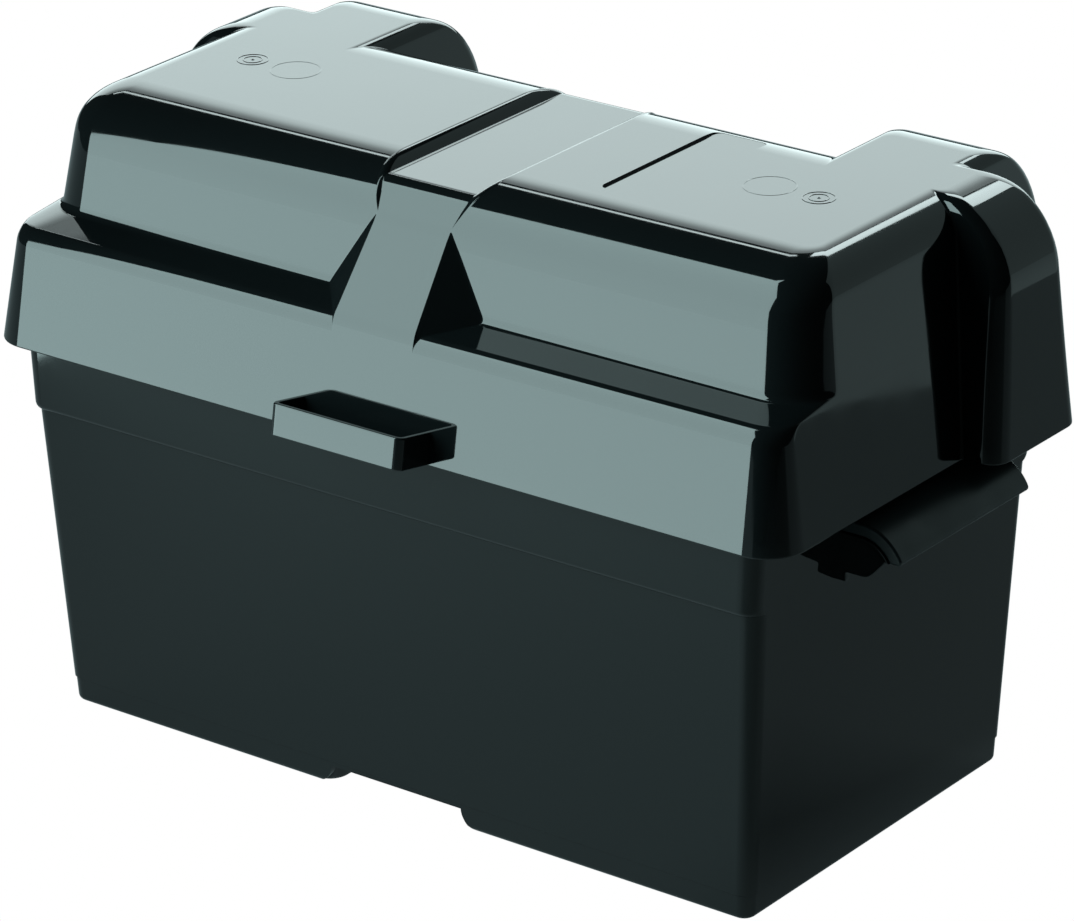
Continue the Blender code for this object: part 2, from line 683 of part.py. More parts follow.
def station_runs(count):
    """Indices in a ring of the four gusset sides, each from the gusset's edge to its root."""
    half = count // 2
    front_right = list(range(GUSSET_STEPS + 1))
    back_right = [half - 1 - step for step in front_right]
    back_left = [half + step for step in front_right]
    front_left = [count - 1 - step for step in front_right]
    return front_right, back_right, back_left, front_left


def sunk_ring(z, inset):
    """A ring above the pockets, with its stretches in the strap track lowered to its floor."""
    ring = [(x, y, z) for x, y in whole_outline(upper_corners(z, inset))]
    floor = blend(APEX, TRACK_FLOOR, (z - APEX) / (TOP - APEX))
    for run in station_runs(len(ring)):
        for step, index in enumerate(run):
            x, y, level = ring[index]
            share = step / GUSSET_STEPS
            reach = blend(gusset_depth(floor), top_depth(z), share) - inset
            rise = math.sin(math.pi / 2 * share)
            ring[index] = (x, math.copysign(reach, y), blend(floor, z, rise))
    return ring


def lid_form(name, inset, base, collection):
    """The lid as a closed form, drawn in and lowered by inset, from a base level up."""
    rings = [[(x, y, base) for x, y in whole_outline(lower_corners(base, inset))]]
    rings += ledge_rings(inset)
    for share in WALL_LEVEL_SHARES + (1.0,):
        level = blend(LEDGE_ROOT, APEX, share)
        rings.append([(x, y, level) for x, y in whole_outline(upper_corners(level, inset))])
    rings += [sunk_ring(level, inset) for level in top_levels() if level > APEX + FIT]
    form = bmesh.new()
    grid = []
    for ring in rings:
        grid.append([form.verts.new((x, y, z - inset)) for x, y, z in ring])
    count = len(rings[0])
    for lower, upper in zip(grid, grid[1:]):
        for index in range(count):
            following = (index + 1) % count
            form.faces.new((lower[index], lower[following], upper[following], upper[index]))
    form.faces.new(list(reversed(grid[0])))
    last = grid[-1]
    front_right, back_right, back_left, front_left = station_runs(count)
    form.faces.new(last[front_right[-1]:back_right[-1] + 1])
    form.faces.new(last[back_left[-1]:front_left[-1] + 1])
    for step in range(GUSSET_STEPS):
        form.faces.new((last[front_right[step]], last[front_right[step + 1]],
                        last[back_right[step + 1]], last[back_right[step]]))
        form.faces.new((last[back_left[step]], last[back_left[step + 1]],
                        last[front_left[step + 1]], last[front_left[step]]))
    form.faces.new((last[front_left[0]], last[front_right[0]], last[back_right[0]],
                    last[back_left[0]]))
    bmesh.ops.remove_doubles(form, verts=form.verts, dist=FIT / 10)
    bmesh.ops.dissolve_degenerate(form, edges=form.edges, dist=FIT / 10)
    bmesh.ops.triangulate(form, faces=form.faces)
    mesh = bpy.data.meshes.new(name)
    form.to_mesh(mesh)
    form.free()
    return add_object(name, mesh, collection)


def loop_outline():
    """Plan of the strap loop: a U whose arms start inside the skirt's wall."""
    half = LOOP_HALF_WIDTH
    root = WALL / 2
    centre = LOOP_CORNER_RADIUS - LOOP_DEPTH
    inner_radius = LOOP_CORNER_RADIUS - LOOP_WALL
    points = [(-half, root)]
    points += arc(-half + LOOP_CORNER_RADIUS, centre, LOOP_CORNER_RADIUS, 180, 270, ARC_STEPS)
    points += arc(half - LOOP_CORNER_RADIUS, centre, LOOP_CORNER_RADIUS, 270, 360, ARC_STEPS)
    points.append((half, root))
    points.append((half - LOOP_WALL, root))
    points += arc(half - LOOP_CORNER_RADIUS, centre, inner_radius, 360, 270, ARC_STEPS)
    points += arc(-half + LOOP_CORNER_RADIUS, centre, inner_radius, 270, 180, ARC_STEPS)
    points.append((-half + LOOP_WALL, root))
    return points


def loop_place():
    """The loop stands square to the leaning skirt, just above its lower edge."""
    middle = SKIRT_BOTTOM + LOOP_LIFT + LOOP_HEIGHT / 2
    return (Matrix.Translation((0.0, -skirt_depth(middle), middle))
            @ Matrix.Rotation(-SKIRT_SIDE_DRAFT, 4, 'X'))


def side_rib_outline():
    """Seat rib on a long side, in Y and Z: from the rim up to the underside of the ledge."""
    seat = TUB_HEIGHT + FIT
    head = LEDGE_EDGE - WALL / 2
    inner = RIM_HALF_DEPTH - RIB_REACH
    return [(skirt_depth(seat) - WALL / 2, seat), (skirt_depth(head) - WALL / 2, head),
            (inner, head), (inner, seat)]


def end_rib_outline():
    """Seat rib at an end, in X and Z: a gusset that reaches in over the rim."""
    seat = TUB_HEIGHT + FIT
    head = LEDGE_EDGE
    outer_high = skirt_length(head) - WALL / 2
    inner = RIM_HALF_LENGTH - RIB_REACH
    return [(skirt_length(seat) - WALL / 2, seat), (outer_high, head),
            (outer_high - WALL, head), (inner, seat)]


def build_lid(parts, cutters, material):
    lid = lid_form("lid", 0.0, SKIRT_BOTTOM, parts)
    lid.data.materials.append(material)
    hollow = lid_form("lid_hollow", WALL, SKIRT_BOTTOM - OVERRUN, cutters)
    boolean(lid, 'DIFFERENCE', hollow)
    label = prism("label_recess", rounded_rectangle(LABEL_WIDTH / 2, LABEL_LENGTH / 2,
                                                    LABEL_CORNER_RADIUS), LABEL_DEPTH,
                  Matrix.Translation((LABEL_CENTRE_X, LABEL_CENTRE_Y, TOP)), cutters)
    boolean(lid, 'DIFFERENCE', label)
    loop = prism("strap_loop", loop_outline(), LOOP_HEIGHT / 2, loop_place(), cutters)
    boolean(lid, 'UNION', loop)
    turned = Matrix.Rotation(math.radians(90), 4, 'Z') @ Matrix.Rotation(math.radians(90), 4, 'X')
    for side, shares in ((-1, FRONT_RIB_PLACE_SHARES), (1, BACK_RIB_PLACE_SHARES)):
        outline = [(side * u, v) for u, v in side_rib_outline()]
        for share in shares:
            place = Matrix.Translation((share * RIM_HALF_LENGTH, 0.0, 0.0)) @ turned
            rib = prism("side_rib", outline, RIB_THICKNESS / 2, place, cutters)
            boolean(lid, 'UNION', rib)
        for share in END_RIB_PLACE_SHARES:
            rib = prism("end_rib", mirrored(end_rib_outline(), side), RIB_THICKNESS / 2,
                        standing_plate(share * RIM_HALF_DEPTH), cutters)
            boolean(lid, 'UNION', rib)
    return lid


def main():
    clear_scene()
    parts = make_collection("battery_box")
    cutters = make_collection("cutters")
    gloss = make_material("glossy black polypropylene", (0.012, 0.014, 0.014), 0.16)
    satin = make_material("satin black grip", (0.02, 0.022, 0.022), 0.45)
    build_tub(parts, cutters, gloss)
    build_grips(parts, satin)
    build_lid(parts, cutters, gloss)
    bpy.context.view_layer.update()


main()
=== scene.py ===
"""Looks of the battery box: smooth glossy mouldings, satin grips, the moulder's marks and a plain stage.

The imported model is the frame. X runs along the box, -Y is its front, +Z is up, in metres.
"""
import math

import bmesh
import bpy
import numpy as np
from bpy.props import FloatProperty, FloatVectorProperty, PointerProperty, StringProperty
from mathutils import Matrix, Vector


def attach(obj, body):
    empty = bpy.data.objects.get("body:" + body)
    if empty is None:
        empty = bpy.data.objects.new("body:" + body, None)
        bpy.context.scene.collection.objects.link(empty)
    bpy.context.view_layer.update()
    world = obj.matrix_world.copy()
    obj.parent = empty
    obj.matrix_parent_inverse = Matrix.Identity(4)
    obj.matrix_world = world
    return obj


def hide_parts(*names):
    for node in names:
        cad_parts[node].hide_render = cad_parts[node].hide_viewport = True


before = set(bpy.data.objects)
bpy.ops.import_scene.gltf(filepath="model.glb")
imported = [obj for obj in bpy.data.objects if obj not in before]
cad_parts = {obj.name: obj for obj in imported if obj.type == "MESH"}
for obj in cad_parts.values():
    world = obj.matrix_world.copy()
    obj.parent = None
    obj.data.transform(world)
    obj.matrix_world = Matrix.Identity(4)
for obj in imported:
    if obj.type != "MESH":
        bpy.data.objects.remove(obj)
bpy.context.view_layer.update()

bl_info = {
    "name": "Battery Box",
    "version": (1, 0, 0),
    "blender": (4, 5, 0),
    "location": "View3D > Sidebar > Battery Box",
    "description": "Dresses the battery box with smooth mouldings, marks and finishes",
    "category": "Add Mesh",
}

MM = 0.001
QUARTER = math.pi / 2          # a quarter turn
TINY = 1e-9                    # keeps a division by a length of nothing harmless
SAME_PLACE = 0.004 * MM        # points that lie nearer than this become one
CREASE = math.radians(30)      # edges sharper than this stay crisp
FINE = 10                      # facets in a rounded corner
SMALL = 4                      # facets in a small fillet
SIDES = ((1, "right"), (-1, "left"))


# Colours and nodes

def linear_colour(hex_code):
    """Turns an sRGB hex value such as #101415 into linear RGBA."""
    channels = [int(hex_code[i:i + 2], 16) / 255 for i in (1, 3, 5)]
    return tuple(c / 12.92 if c <= 0.04045 else ((c + 0.055) / 1.055) ** 2.4
                 for c in channels) + (1.0,)


def add_node(tree, kind, settings=None, inputs=None, links=None):
    """Adds one node with its settings, its input values and what feeds its inputs."""
    node = tree.nodes.new(kind)
    for name, value in (settings or {}).items():
        setattr(node, name, value)
    for name, value in (inputs or {}).items():
        node.inputs[name].default_value = value
    for name, source in (links or {}).items():
        tree.links.new(source, node.inputs[name])
    return node


def empty_material(name):
    """A node material with no nodes yet. One of that name is emptied and used again, so that all
    pieces of a finish share it."""
    material = bpy.data.materials.get(name) or bpy.data.materials.new(name)
    material.use_nodes = True
    material.node_tree.nodes.clear()
    return material, material.node_tree


# Sizes of the tub, as modelled in the frame. Half sizes are those of its outer face.

WALL = 2.5 * MM
RIM_HEIGHT = 180 * MM
RIM_HALF_LENGTH = 193.6 * MM
RIM_HALF_DEPTH = 103.1 * MM
RIM_ROUND = 0.8 * MM
END_DRAFT = math.radians(3.36)
SIDE_DRAFT = math.radians(2.41)
TUB_CORNER_FOOT = 6.5 * MM     # radius of the upright corners at the floor
TUB_CORNER_RIM = 8.5 * MM      # and at the rim
TUB_CORNER_LEAST = 1 * MM      # and the smallest it may be on the inside
STEP_HEIGHT = 140.5 * MM
STEP_OUT = 3.1 * MM
STEP_ROUND = 3.5 * MM
FOOT_LINE = 11.2 * MM          # fine line round the box, below which the feet stand in
FOOT_LINE_RUN = 0.5 * MM       # rise over which the wall runs out again above the line
FOOT_LINE_HOLD = 0.3 * MM      # a ring this far below the line keeps it crisp
FOOT_INSET = 0.6 * MM
FOOT_EDGE = 2.5 * MM
FLOOR = 3 * MM
FLOOR_FILLET = 4 * MM
CHANNEL_HALF = 35 * MM
CHANNEL_HEIGHT = 9.2 * MM
CHANNEL_RUN = 1 * MM           # run of the rounded end of each foot
CHANNEL_FLARE = 8.5 * MM       # how much the channel widens on each side at the outside
CUTTER_AHEAD = 8 * MM          # how far the channel's cutter stands out past the flat of the feet
CUTTER_BELOW = 4 * MM          # and below them
HUMP_LEVEL = 20 * MM           # level at which the hump ends within the thickness of the long walls
HUMP_EDGE = 0.1 * MM

# Sizes of the lid

SKIRT_BOTTOM = 170.9 * MM
SKIRT_HALF_LENGTH = 208.4 * MM
SKIRT_HALF_DEPTH = 109.2 * MM
SKIRT_DRAFT = math.radians(10.5)
LID_END_DRAFT = math.radians(8.4)
SKIRT_CORNER_FOOT = 18.5 * MM  # radius of the upright corners at the lower edge
SKIRT_CORNER_EDGE = 12 * MM    # and at the ledge
LIP_ROUND = 0.9 * MM
LEDGE_EDGE = 221.0 * MM
LEDGE_ROOT = 224.8 * MM
LEDGE_WIDTH = 22 * MM
LEDGE_ROUND = 6 * MM
LEDGE_ROUND_SHARE = 0.65       # most of a narrow ledge that its rounded edge takes
LEDGE_FILLET = 3 * MM
TOP = 275.7 * MM
TOP_SIDE_ROUND = 23 * MM
TOP_SIDE_EASE = 2.6            # growth of that radius, as a share, by the time it reaches the flat top
TOP_END_ROUND = 17 * MM
TOP_END_EASE = 0.6
EASE_POWER = 8                 # makes the growth come late in the turn
TOP_CORNER_FOOT = 22 * MM
TOP_CORNER_TOP = 6 * MM

# The gusset stands on the ledge's edge between two pockets, which come to a point at the apex. Above
# the apex the strap track begins, and it runs over the top.

APEX = 258.9 * MM
APEX_HALF = 19.1 * MM          # half width of the gusset's front at the apex
GUSSET_HALF = 21.1 * MM        # and at the ledge's edge
GUSSET_ROOT_HALF = 40.5 * MM   # half width between the roots of its sides, at the ledge's root
GUSSET_EDGE_ROUND = 0.9 * MM
POCKET_ROUND = 2 * MM
FILLET_SHARE = 0.3             # most of a gusset's side that each of its fillets takes
TRACK_DEPTH = 4.4 * MM
TRACK_FLOOR = TOP - TRACK_DEPTH
TRACK_FLOOR_HALF = 22.6 * MM
TRACK_TOP_HALF = 29.0 * MM
TRACK_ROUND = 8 * MM           # radius with which the gusset's front turns into the track's floor
TRACK_TURN = 0.3               # share of the rise over the apex in which the inner face changes side

# The end hood and the back hood narrow as they rise. Their sizes are those at the skirt's lower edge.

END_HOOD_SETBACK = 24.2 * MM   # from the skirt's back in to the hood's far side
END_HOOD_WIDTH = 64.2 * MM
END_HOOD_OUT = 17.0 * MM
END_HOOD_ROUND = 37 * MM
END_HOOD_DRAFT = math.radians(4.7)
END_HOOD_NEAR_DRAFT = math.radians(8.8)
END_HOOD_FAR_DRAFT = math.radians(4.5)
BACK_HOOD_SETBACK = 24.4 * MM  # from the skirt's end in to the hood's outer side
BACK_HOOD_WIDTH = 73 * MM
BACK_HOOD_OUT = 22.5 * MM
BACK_HOOD_ROUND = 43 * MM
BACK_HOOD_DRAFT = math.radians(2.2)
BACK_HOOD_SIDE_DRAFT = math.radians(5.3)
HOOD_SIDE_ROUND = 7 * MM
HOOD_CORNER_FOOT = 10 * MM
HOOD_CORNER_TOP = 5 * MM
HOOD_CORNER_LEAST = 1.25 * MM  # smallest radius of a hood's corner on the inside
HOODS_MEET_ROUND = 4 * MM
HOODS_MEET_SHARE = 0.36        # most of the shorter side that the round between the hoods takes
STATION_SHARE = 0.4            # place of the added point between that round and the skirt's corner
GROOVE = 1.2 * MM              # fillet where a hood meets a wall

# How finely the mouldings are drawn: numbers of rings in each stretch of their height

EDGE_LEVELS = 7                # the tub's lower edge, and the fillet round its floor
STEP_LEVELS = 9
RIM_LEVELS = 11
SKIRT_LEVELS = 8
FILLET_LEVELS = 7
WALL_LEVELS = 9
TOP_LEVELS = 33
TURN_STEPS = 240               # steps in the sum of a wall's curve
LEVEL_SPREAD = 22 * MM         # the levels near the top crowd together like those of an arc this big
SIDE = 8                       # facets across a gusset's side or the wall of the track
SIDE_SHARES = np.concatenate([np.zeros(SMALL + 1), np.arange(1, SIDE) / SIDE, np.ones(SMALL + 1)])


# Shapes in general

def blend(low, high, share):
    """The value that lies the given share of the way from low to high."""
    return low + (high - low) * share


def unit(vectors):
    """Vectors of length one; a vector of no length stays as it is."""
    return vectors / np.maximum(np.linalg.norm(vectors, axis=-1, keepdims=True), TINY)


def rounded_plan(corners):
    """Rings at every level from a table of corners (x, y, radius, steps), where x, y and radius are
    arrays over the levels. A corner becomes the circular arc that touches both of its sides: its centre
    lies on the bisector, radius / sin(half the angle) from the corner."""
    levels = max(np.size(corner[0]) for corner in corners)
    spread = np.ones(levels)
    places = [np.stack([x * spread, y * spread], -1) for x, y, _, _ in corners]
    parts = []
    for index, (here, (_, _, radius, steps)) in enumerate(zip(places, corners)):
        if steps == 0:
            parts.append(here[:, None])
            continue
        inward = unit(places[index - 1] - here)
        outward = unit(places[(index + 1) % len(corners)] - here)
        half = np.arccos(np.clip((inward * outward).sum(-1), -1, 1)) / 2
        run = (radius / np.maximum(np.tan(half), TINY))[:, None]
        middle = here + unit(inward + outward) * (radius / np.maximum(np.sin(half), TINY))[:, None]
        first = here + inward * run - middle
        last = here + outward * run - middle
        turn = np.arctan2(first[:, 0] * last[:, 1] - first[:, 1] * last[:, 0],
                          (first * last).sum(-1))
        angle = turn[:, None] * np.linspace(0, 1, steps + 1)
        cos, sin = np.cos(angle), np.sin(angle)
        x, y = first[:, :1], first[:, 1:]
        parts.append(middle[:, None] + np.stack([x * cos - y * sin, x * sin + y * cos], -1))
    return np.concatenate(parts, axis=1)


def at_level(plan, z):
    """Adds each ring's height to its plan."""
    return np.concatenate([plan, np.broadcast_to(z[:, None, None], plan.shape[:2] + (1,))], -1)


def grid_faces(rows, columns, start=0):
    """Quads between neighbouring rows of a grid whose columns close into a ring."""
    here = np.arange(rows * columns).reshape(rows, columns) + start
    beside = np.roll(here, -1, axis=1)
    quads = np.stack([here[:-1], beside[:-1], beside[1:], here[1:]], -1)
    return quads.reshape(-1, 4).tolist()


def capped_faces(rows):
    """Quads between neighbouring rings, and one face over the first ring and over the last."""
    levels, count = rows.shape[:2]
    first = list(range(count))[::-1]
    last = list(range(count * (levels - 1), count * levels))
    return grid_faces(levels, count) + [first, last]


def smooth(mesh):
    """Shades all faces smooth and keeps the creases."""
    mesh.polygons.foreach_set("use_smooth", np.ones(len(mesh.polygons), bool))
    mesh.set_sharp_from_angle(angle=CREASE)


def make_piece(name, points, faces):
    """Puts points and faces into a mesh, merges its doubles and turns its faces outwards."""
    mesh = bpy.data.meshes.new(name)
    mesh.from_pydata(points.reshape(-1, 3), [], faces)
    form = bmesh.new()
    form.from_mesh(mesh)
    bmesh.ops.remove_doubles(form, verts=form.verts, dist=SAME_PLACE)
    bmesh.ops.dissolve_degenerate(form, edges=form.edges, dist=SAME_PLACE)
    bmesh.ops.recalc_face_normals(form, faces=form.faces)
    form.to_mesh(mesh)
    form.free()
    item = bpy.data.objects.new(name, mesh)
    bpy.context.scene.collection.objects.link(item)
    smooth(mesh)
    return item


def bake(item):
    """Applies an object's modifiers."""
    bpy.context.view_layer.update()
    ready = item.evaluated_get(bpy.context.evaluated_depsgraph_get())
    mesh = bpy.data.meshes.new_from_object(ready)
    if not mesh.polygons:
        raise RuntimeError(item.name + " has no faces left")
    item.modifiers.clear()
    item.data = mesh


def carve(item, cutter, operation='DIFFERENCE'):
    """Applies a Boolean with a second closed mesh, which is then removed."""
    modifier = item.modifiers.new("carve", 'BOOLEAN')
    modifier.operation = operation
    modifier.solver = 'EXACT'
    modifier.object = cutter
    bake(item)
    smooth(item.data)
    bpy.data.objects.remove(cutter, do_unlink=True)
    return item


def finish_piece(item, material, body):
    """Gives a piece its material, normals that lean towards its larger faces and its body."""
    item.data.materials.clear()
    item.data.materials.append(material)
    weighted = item.modifiers.new("normals", 'WEIGHTED_NORMAL')
    weighted.mode = 'FACE_AREA'
    weighted.keep_sharp = True
    bake(item)
    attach(item, body)
    return item


# Prisms with rounded edges

def rounded_prism(name, outline, half, edge, place):
    """An outline (u, v) carried half way each side along w. Near both ends it draws in along its own
    normals on a quarter circle, so that the edges are round. place turns (u, v, w) into X, Y, Z."""
    along = unit(np.roll(outline, -1, axis=0) - outline)
    normal = np.stack([along[:, 1], -along[:, 0]], -1)
    middle = unit(normal + np.roll(normal, 1, axis=0))
    least = 0.5                # a point of the outline moves at most twice as far as its sides
    reach = middle / np.maximum((middle * normal).sum(-1, keepdims=True), least)
    angle = np.linspace(QUARTER, 0, SMALL + 1)
    depth, inset = half - edge * (1 - np.sin(angle)), edge * (1 - np.cos(angle))
    inset, depth = np.concatenate([inset, inset[::-1]]), np.concatenate([-depth, depth[::-1]])
    flat = outline - reach * inset[:, None, None]
    u, v = flat[..., 0], flat[..., 1]
    w = np.broadcast_to(depth[:, None], u.shape)
    rows = np.stack(place(u, v, w), -1)
    return make_piece(name, rows, capped_faces(rows))


def lay_across(middle=0.0):
    """Lays an outline drawn in X and Z along Y, about a middle."""
    def place(u, v, w):
        return u, w + middle, v
    return place


def plan_of(corners):
    """One flat outline from a table of corners (x, y, radius, steps)."""
    return rounded_plan([(np.array([x]), np.array([y]), np.array([radius]), steps)
                         for x, y, radius, steps in corners])[0]


def arc_corners(centre, radius, start, end, steps):
    """Corners along an arc, from one angle to another in degrees."""
    angle = np.radians(np.linspace(start, end, steps + 1))
    return [(centre[0] + radius * c, centre[1] + radius * s, 0.0, 0)
            for c, s in zip(np.cos(angle).tolist(), np.sin(angle).tolist())]


def rectangle(half_u, half_v, radius):
    """Corners of a rectangle about the middle, all rounded alike."""
    return [(half_u, -half_v, radius, FINE), (half_u, half_v, radius, FINE),
            (-half_u, half_v, radius, FINE), (-half_u, -half_v, radius, FINE)]


# Lid

def leaning_wall(foot, foot_level, lean, radius, z, ease=0.0, top=TOP):
    """Distance of a wall that leans in as it rises, then turns over into the flat top. Its radius of
    curvature at the turn t is radius * (1 + ease * (t / 90 degrees) ** 8), so it runs out softly. The
    curve is summed up from the lean to 90 degrees: dx = -R sin t dt, dz = R cos t dt."""
    turn = np.linspace(lean, QUARTER, TURN_STEPS + 1)
    bend = radius * (1 + ease * (turn / QUARTER) ** EASE_POWER)
    middle, mean = (turn[1:] + turn[:-1]) / 2, (bend[1:] + bend[:-1]) / 2
    step = turn[1] - turn[0]
    inward = np.concatenate([[0], np.cumsum(mean * np.sin(middle) * step)])
    rise = np.concatenate([[0], np.cumsum(mean * np.cos(middle) * step)])
    tangent = top - rise[-1]
    straight = foot - math.tan(lean) * (np.minimum(z, tangent) - foot_level)
    angle = np.interp(z - tangent, rise, turn)
    return straight - np.interp(angle, turn, inward)


def skirt_length(z):
    """Half length of the skirt, which narrows by the tangent of its draft."""
    return SKIRT_HALF_LENGTH - math.tan(LID_END_DRAFT) * (z - SKIRT_BOTTOM)


def skirt_depth(z):
    """Half depth of the skirt, likewise."""
    return SKIRT_HALF_DEPTH - math.tan(SKIRT_DRAFT) * (z - SKIRT_BOTTOM)


def top_length(z):
    """Half length of the raised top, whose end walls carry on from the skirt's."""
    return leaning_wall(skirt_length(LEDGE_ROOT), LEDGE_ROOT, LID_END_DRAFT, TOP_END_ROUND, z,
                        TOP_END_EASE)


def top_depth(z):
    """Half depth of the raised top, whose long walls stand back by the ledge's width."""
    return leaning_wall(skirt_depth(LEDGE_EDGE) - LEDGE_WIDTH, LEDGE_ROOT, SKIRT_DRAFT,
                        TOP_SIDE_ROUND, z, TOP_SIDE_EASE)


def hood_places(z, inset):
    """Sides and faces of the end hood and the back hood, which narrow as they rise."""
    def draw(draft):
        return -leaning_wall(0.0, SKIRT_BOTTOM, draft, HOOD_SIDE_ROUND, z)
    end_far = SKIRT_HALF_DEPTH - END_HOOD_SETBACK
    back_outer = SKIRT_HALF_LENGTH - BACK_HOOD_SETBACK
    side = draw(BACK_HOOD_SIDE_DRAFT) + inset
    end = leaning_wall(SKIRT_HALF_LENGTH + END_HOOD_OUT, SKIRT_BOTTOM, END_HOOD_DRAFT,
                       END_HOOD_ROUND, z)
    back = leaning_wall(SKIRT_HALF_DEPTH + BACK_HOOD_OUT, SKIRT_BOTTOM, BACK_HOOD_DRAFT,
                        BACK_HOOD_ROUND, z)
    return {
        "near": end_far - END_HOOD_WIDTH + draw(END_HOOD_NEAR_DRAFT) + inset,
        "far": end_far - draw(END_HOOD_FAR_DRAFT) - inset,
        "end": end - inset,
        "inner": back_outer - BACK_HOOD_WIDTH + side,
        "outer": back_outer - side,
        "back": back - inset,
    }


def hood_corner(z, inset):
    """Radius of a hood's corners, which shrinks with the square of the way up."""
    share = np.clip((z - SKIRT_BOTTOM) / (TOP - SKIRT_BOTTOM), 0, 1)
    return np.maximum(blend(HOOD_CORNER_FOOT, HOOD_CORNER_TOP, share ** 2) - inset, HOOD_CORNER_LEAST)


def gusset_depth(z):
    """Front of the gusset, straight from the ledge's edge up past the point of the pockets, then
    round into the floor of the track."""
    foot = skirt_depth(LEDGE_EDGE)
    lean = math.atan((foot - float(top_depth(APEX))) / (APEX - LEDGE_EDGE))
    return leaning_wall(foot, LEDGE_EDGE, lean, TRACK_ROUND, z, 0.0, TRACK_FLOOR)


def both_halves(half):
    """The right half of a ring, then its mirror image back to the front."""
    return rounded_plan(half + [(-x, y, radius, steps) for x, y, radius, steps in reversed(half)])


def lower_plan(z, inset):
    """Rings of the skirt and the hoods below the ledge's edge."""
    length, depth = skirt_length(z) - inset, skirt_depth(z) - inset
    hood, corner = hood_places(z, inset), hood_corner(z, inset)
    flat = np.zeros_like(z)
    climb = (z - SKIRT_BOTTOM) / (LEDGE_EDGE - SKIRT_BOTTOM)
    post = blend(SKIRT_CORNER_FOOT, SKIRT_CORNER_EDGE, climb) - inset
    groove = flat + GROOVE
    gusset = GUSSET_HALF - inset
    stack = len(SIDE_SHARES)
    front = [(flat + gusset, -depth, flat, 0)] * stack
    back = [(flat + gusset, depth, flat, 0)] * stack
    half = front + [
        (length, -depth, post, FINE),
        (length, hood["near"], groove, SMALL),
        (hood["end"], hood["near"], corner, FINE),
        (hood["end"], hood["far"], corner, FINE),
        (length, hood["far"], groove, SMALL),
        (length, hood["far"] + 2 * GROOVE, flat, 0),
        (length, depth, np.minimum(post, (depth - hood["far"]) / 2), FINE),
        (hood["outer"] + 2 * GROOVE, depth, flat, 0),
        (hood["outer"], depth, groove, SMALL),
        (hood["outer"], hood["back"], corner, FINE),
        (hood["inner"], hood["back"], corner, FINE),
        (hood["inner"], depth + 2 * GROOVE, flat, 0),
        (hood["inner"], depth, groove, SMALL),
    ] + back
    return both_halves(half)


def upper_plan(z, inset):
    """Rings of the raised top and the hoods above the ledge, station for station with the skirt's. A
    station on a hood's side stays at the share of that side at which the skirt met it."""
    length, depth = top_length(z) - inset, top_depth(z) - inset
    hood, corner = hood_places(z, inset), hood_corner(z, inset)
    edge = hood_places(np.array([LEDGE_EDGE]), inset)
    end_share = (skirt_length(LEDGE_EDGE) - edge["outer"]) / (edge["end"] - edge["outer"])
    outer_share = (skirt_depth(LEDGE_EDGE) - edge["far"]) / (edge["back"] - edge["far"])
    foot = top_depth(np.array([LEDGE_ROOT]))
    inner_share = (skirt_depth(LEDGE_EDGE) - foot) / (edge["back"] - foot)
    flat = np.zeros_like(z)
    groove = flat + GROOVE
    round_share = (foot - top_depth(z)) / (foot - top_depth(np.array([TOP])))
    top_corner = blend(TOP_CORNER_FOOT, TOP_CORNER_TOP, round_share) - inset
    nearest = np.minimum((hood["end"] - hood["outer"]) * end_share,
                         (hood["back"] - hood["far"]) * outer_share) * HOODS_MEET_SHARE
    climb = np.clip((z - LEDGE_EDGE) / (APEX - LEDGE_EDGE), 0, 1)
    root_climb = np.clip((z - LEDGE_ROOT) / (APEX - LEDGE_ROOT), 0, 1)
    over = np.clip((z - APEX) / (TOP - APEX), 0, 1)
    # The inner face lies inside the gusset's sides, but outside the walls of the track.
    turn = blend(-inset, inset, np.clip(over / TRACK_TURN, 0, 1))
    edge_x = blend(blend(GUSSET_HALF, APEX_HALF, climb), TRACK_FLOOR_HALF, over) + turn
    root_x = blend(blend(GUSSET_ROOT_HALF, APEX_HALF, root_climb), TRACK_TOP_HALF, over) + turn
    edge_y = gusset_depth(z) - inset
    side = np.hypot(root_x - edge_x, edge_y - depth) * FILLET_SHARE * (z < APEX)
    rib, pocket = np.minimum(GUSSET_EDGE_ROUND, side), np.minimum(POCKET_ROUND, side)
    front = [(edge_x, -edge_y, rib, SMALL)]
    front += [(blend(edge_x, root_x, step / SIDE), -blend(edge_y, depth, step / SIDE), flat, 0)
              for step in range(1, SIDE)]
    front += [(root_x, -depth, pocket, SMALL)]
    back = [(x, -y, radius, steps) for x, y, radius, steps in reversed(front)]
    half = front + [
        (length, -depth, top_corner, FINE),
        (length, hood["near"], groove, SMALL),
        (hood["end"], hood["near"], corner, FINE),
        (hood["end"], hood["far"], corner, FINE),
        (blend(hood["outer"], hood["end"], end_share), hood["far"], flat, SMALL),
        (blend(hood["outer"], hood["end"], end_share * STATION_SHARE), hood["far"], flat, 0),
        (hood["outer"], hood["far"], np.minimum(HOODS_MEET_ROUND, nearest), FINE),
        (hood["outer"], blend(hood["far"], hood["back"], outer_share * STATION_SHARE), flat, 0),
        (hood["outer"], blend(hood["far"], hood["back"], outer_share), flat, SMALL),
        (hood["outer"], hood["back"], corner, FINE),
        (hood["inner"], hood["back"], corner, FINE),
        (hood["inner"], blend(depth, hood["back"], inner_share), flat, 0),
        (hood["inner"], depth, groove, SMALL),
    ] + back
    return both_halves(half)


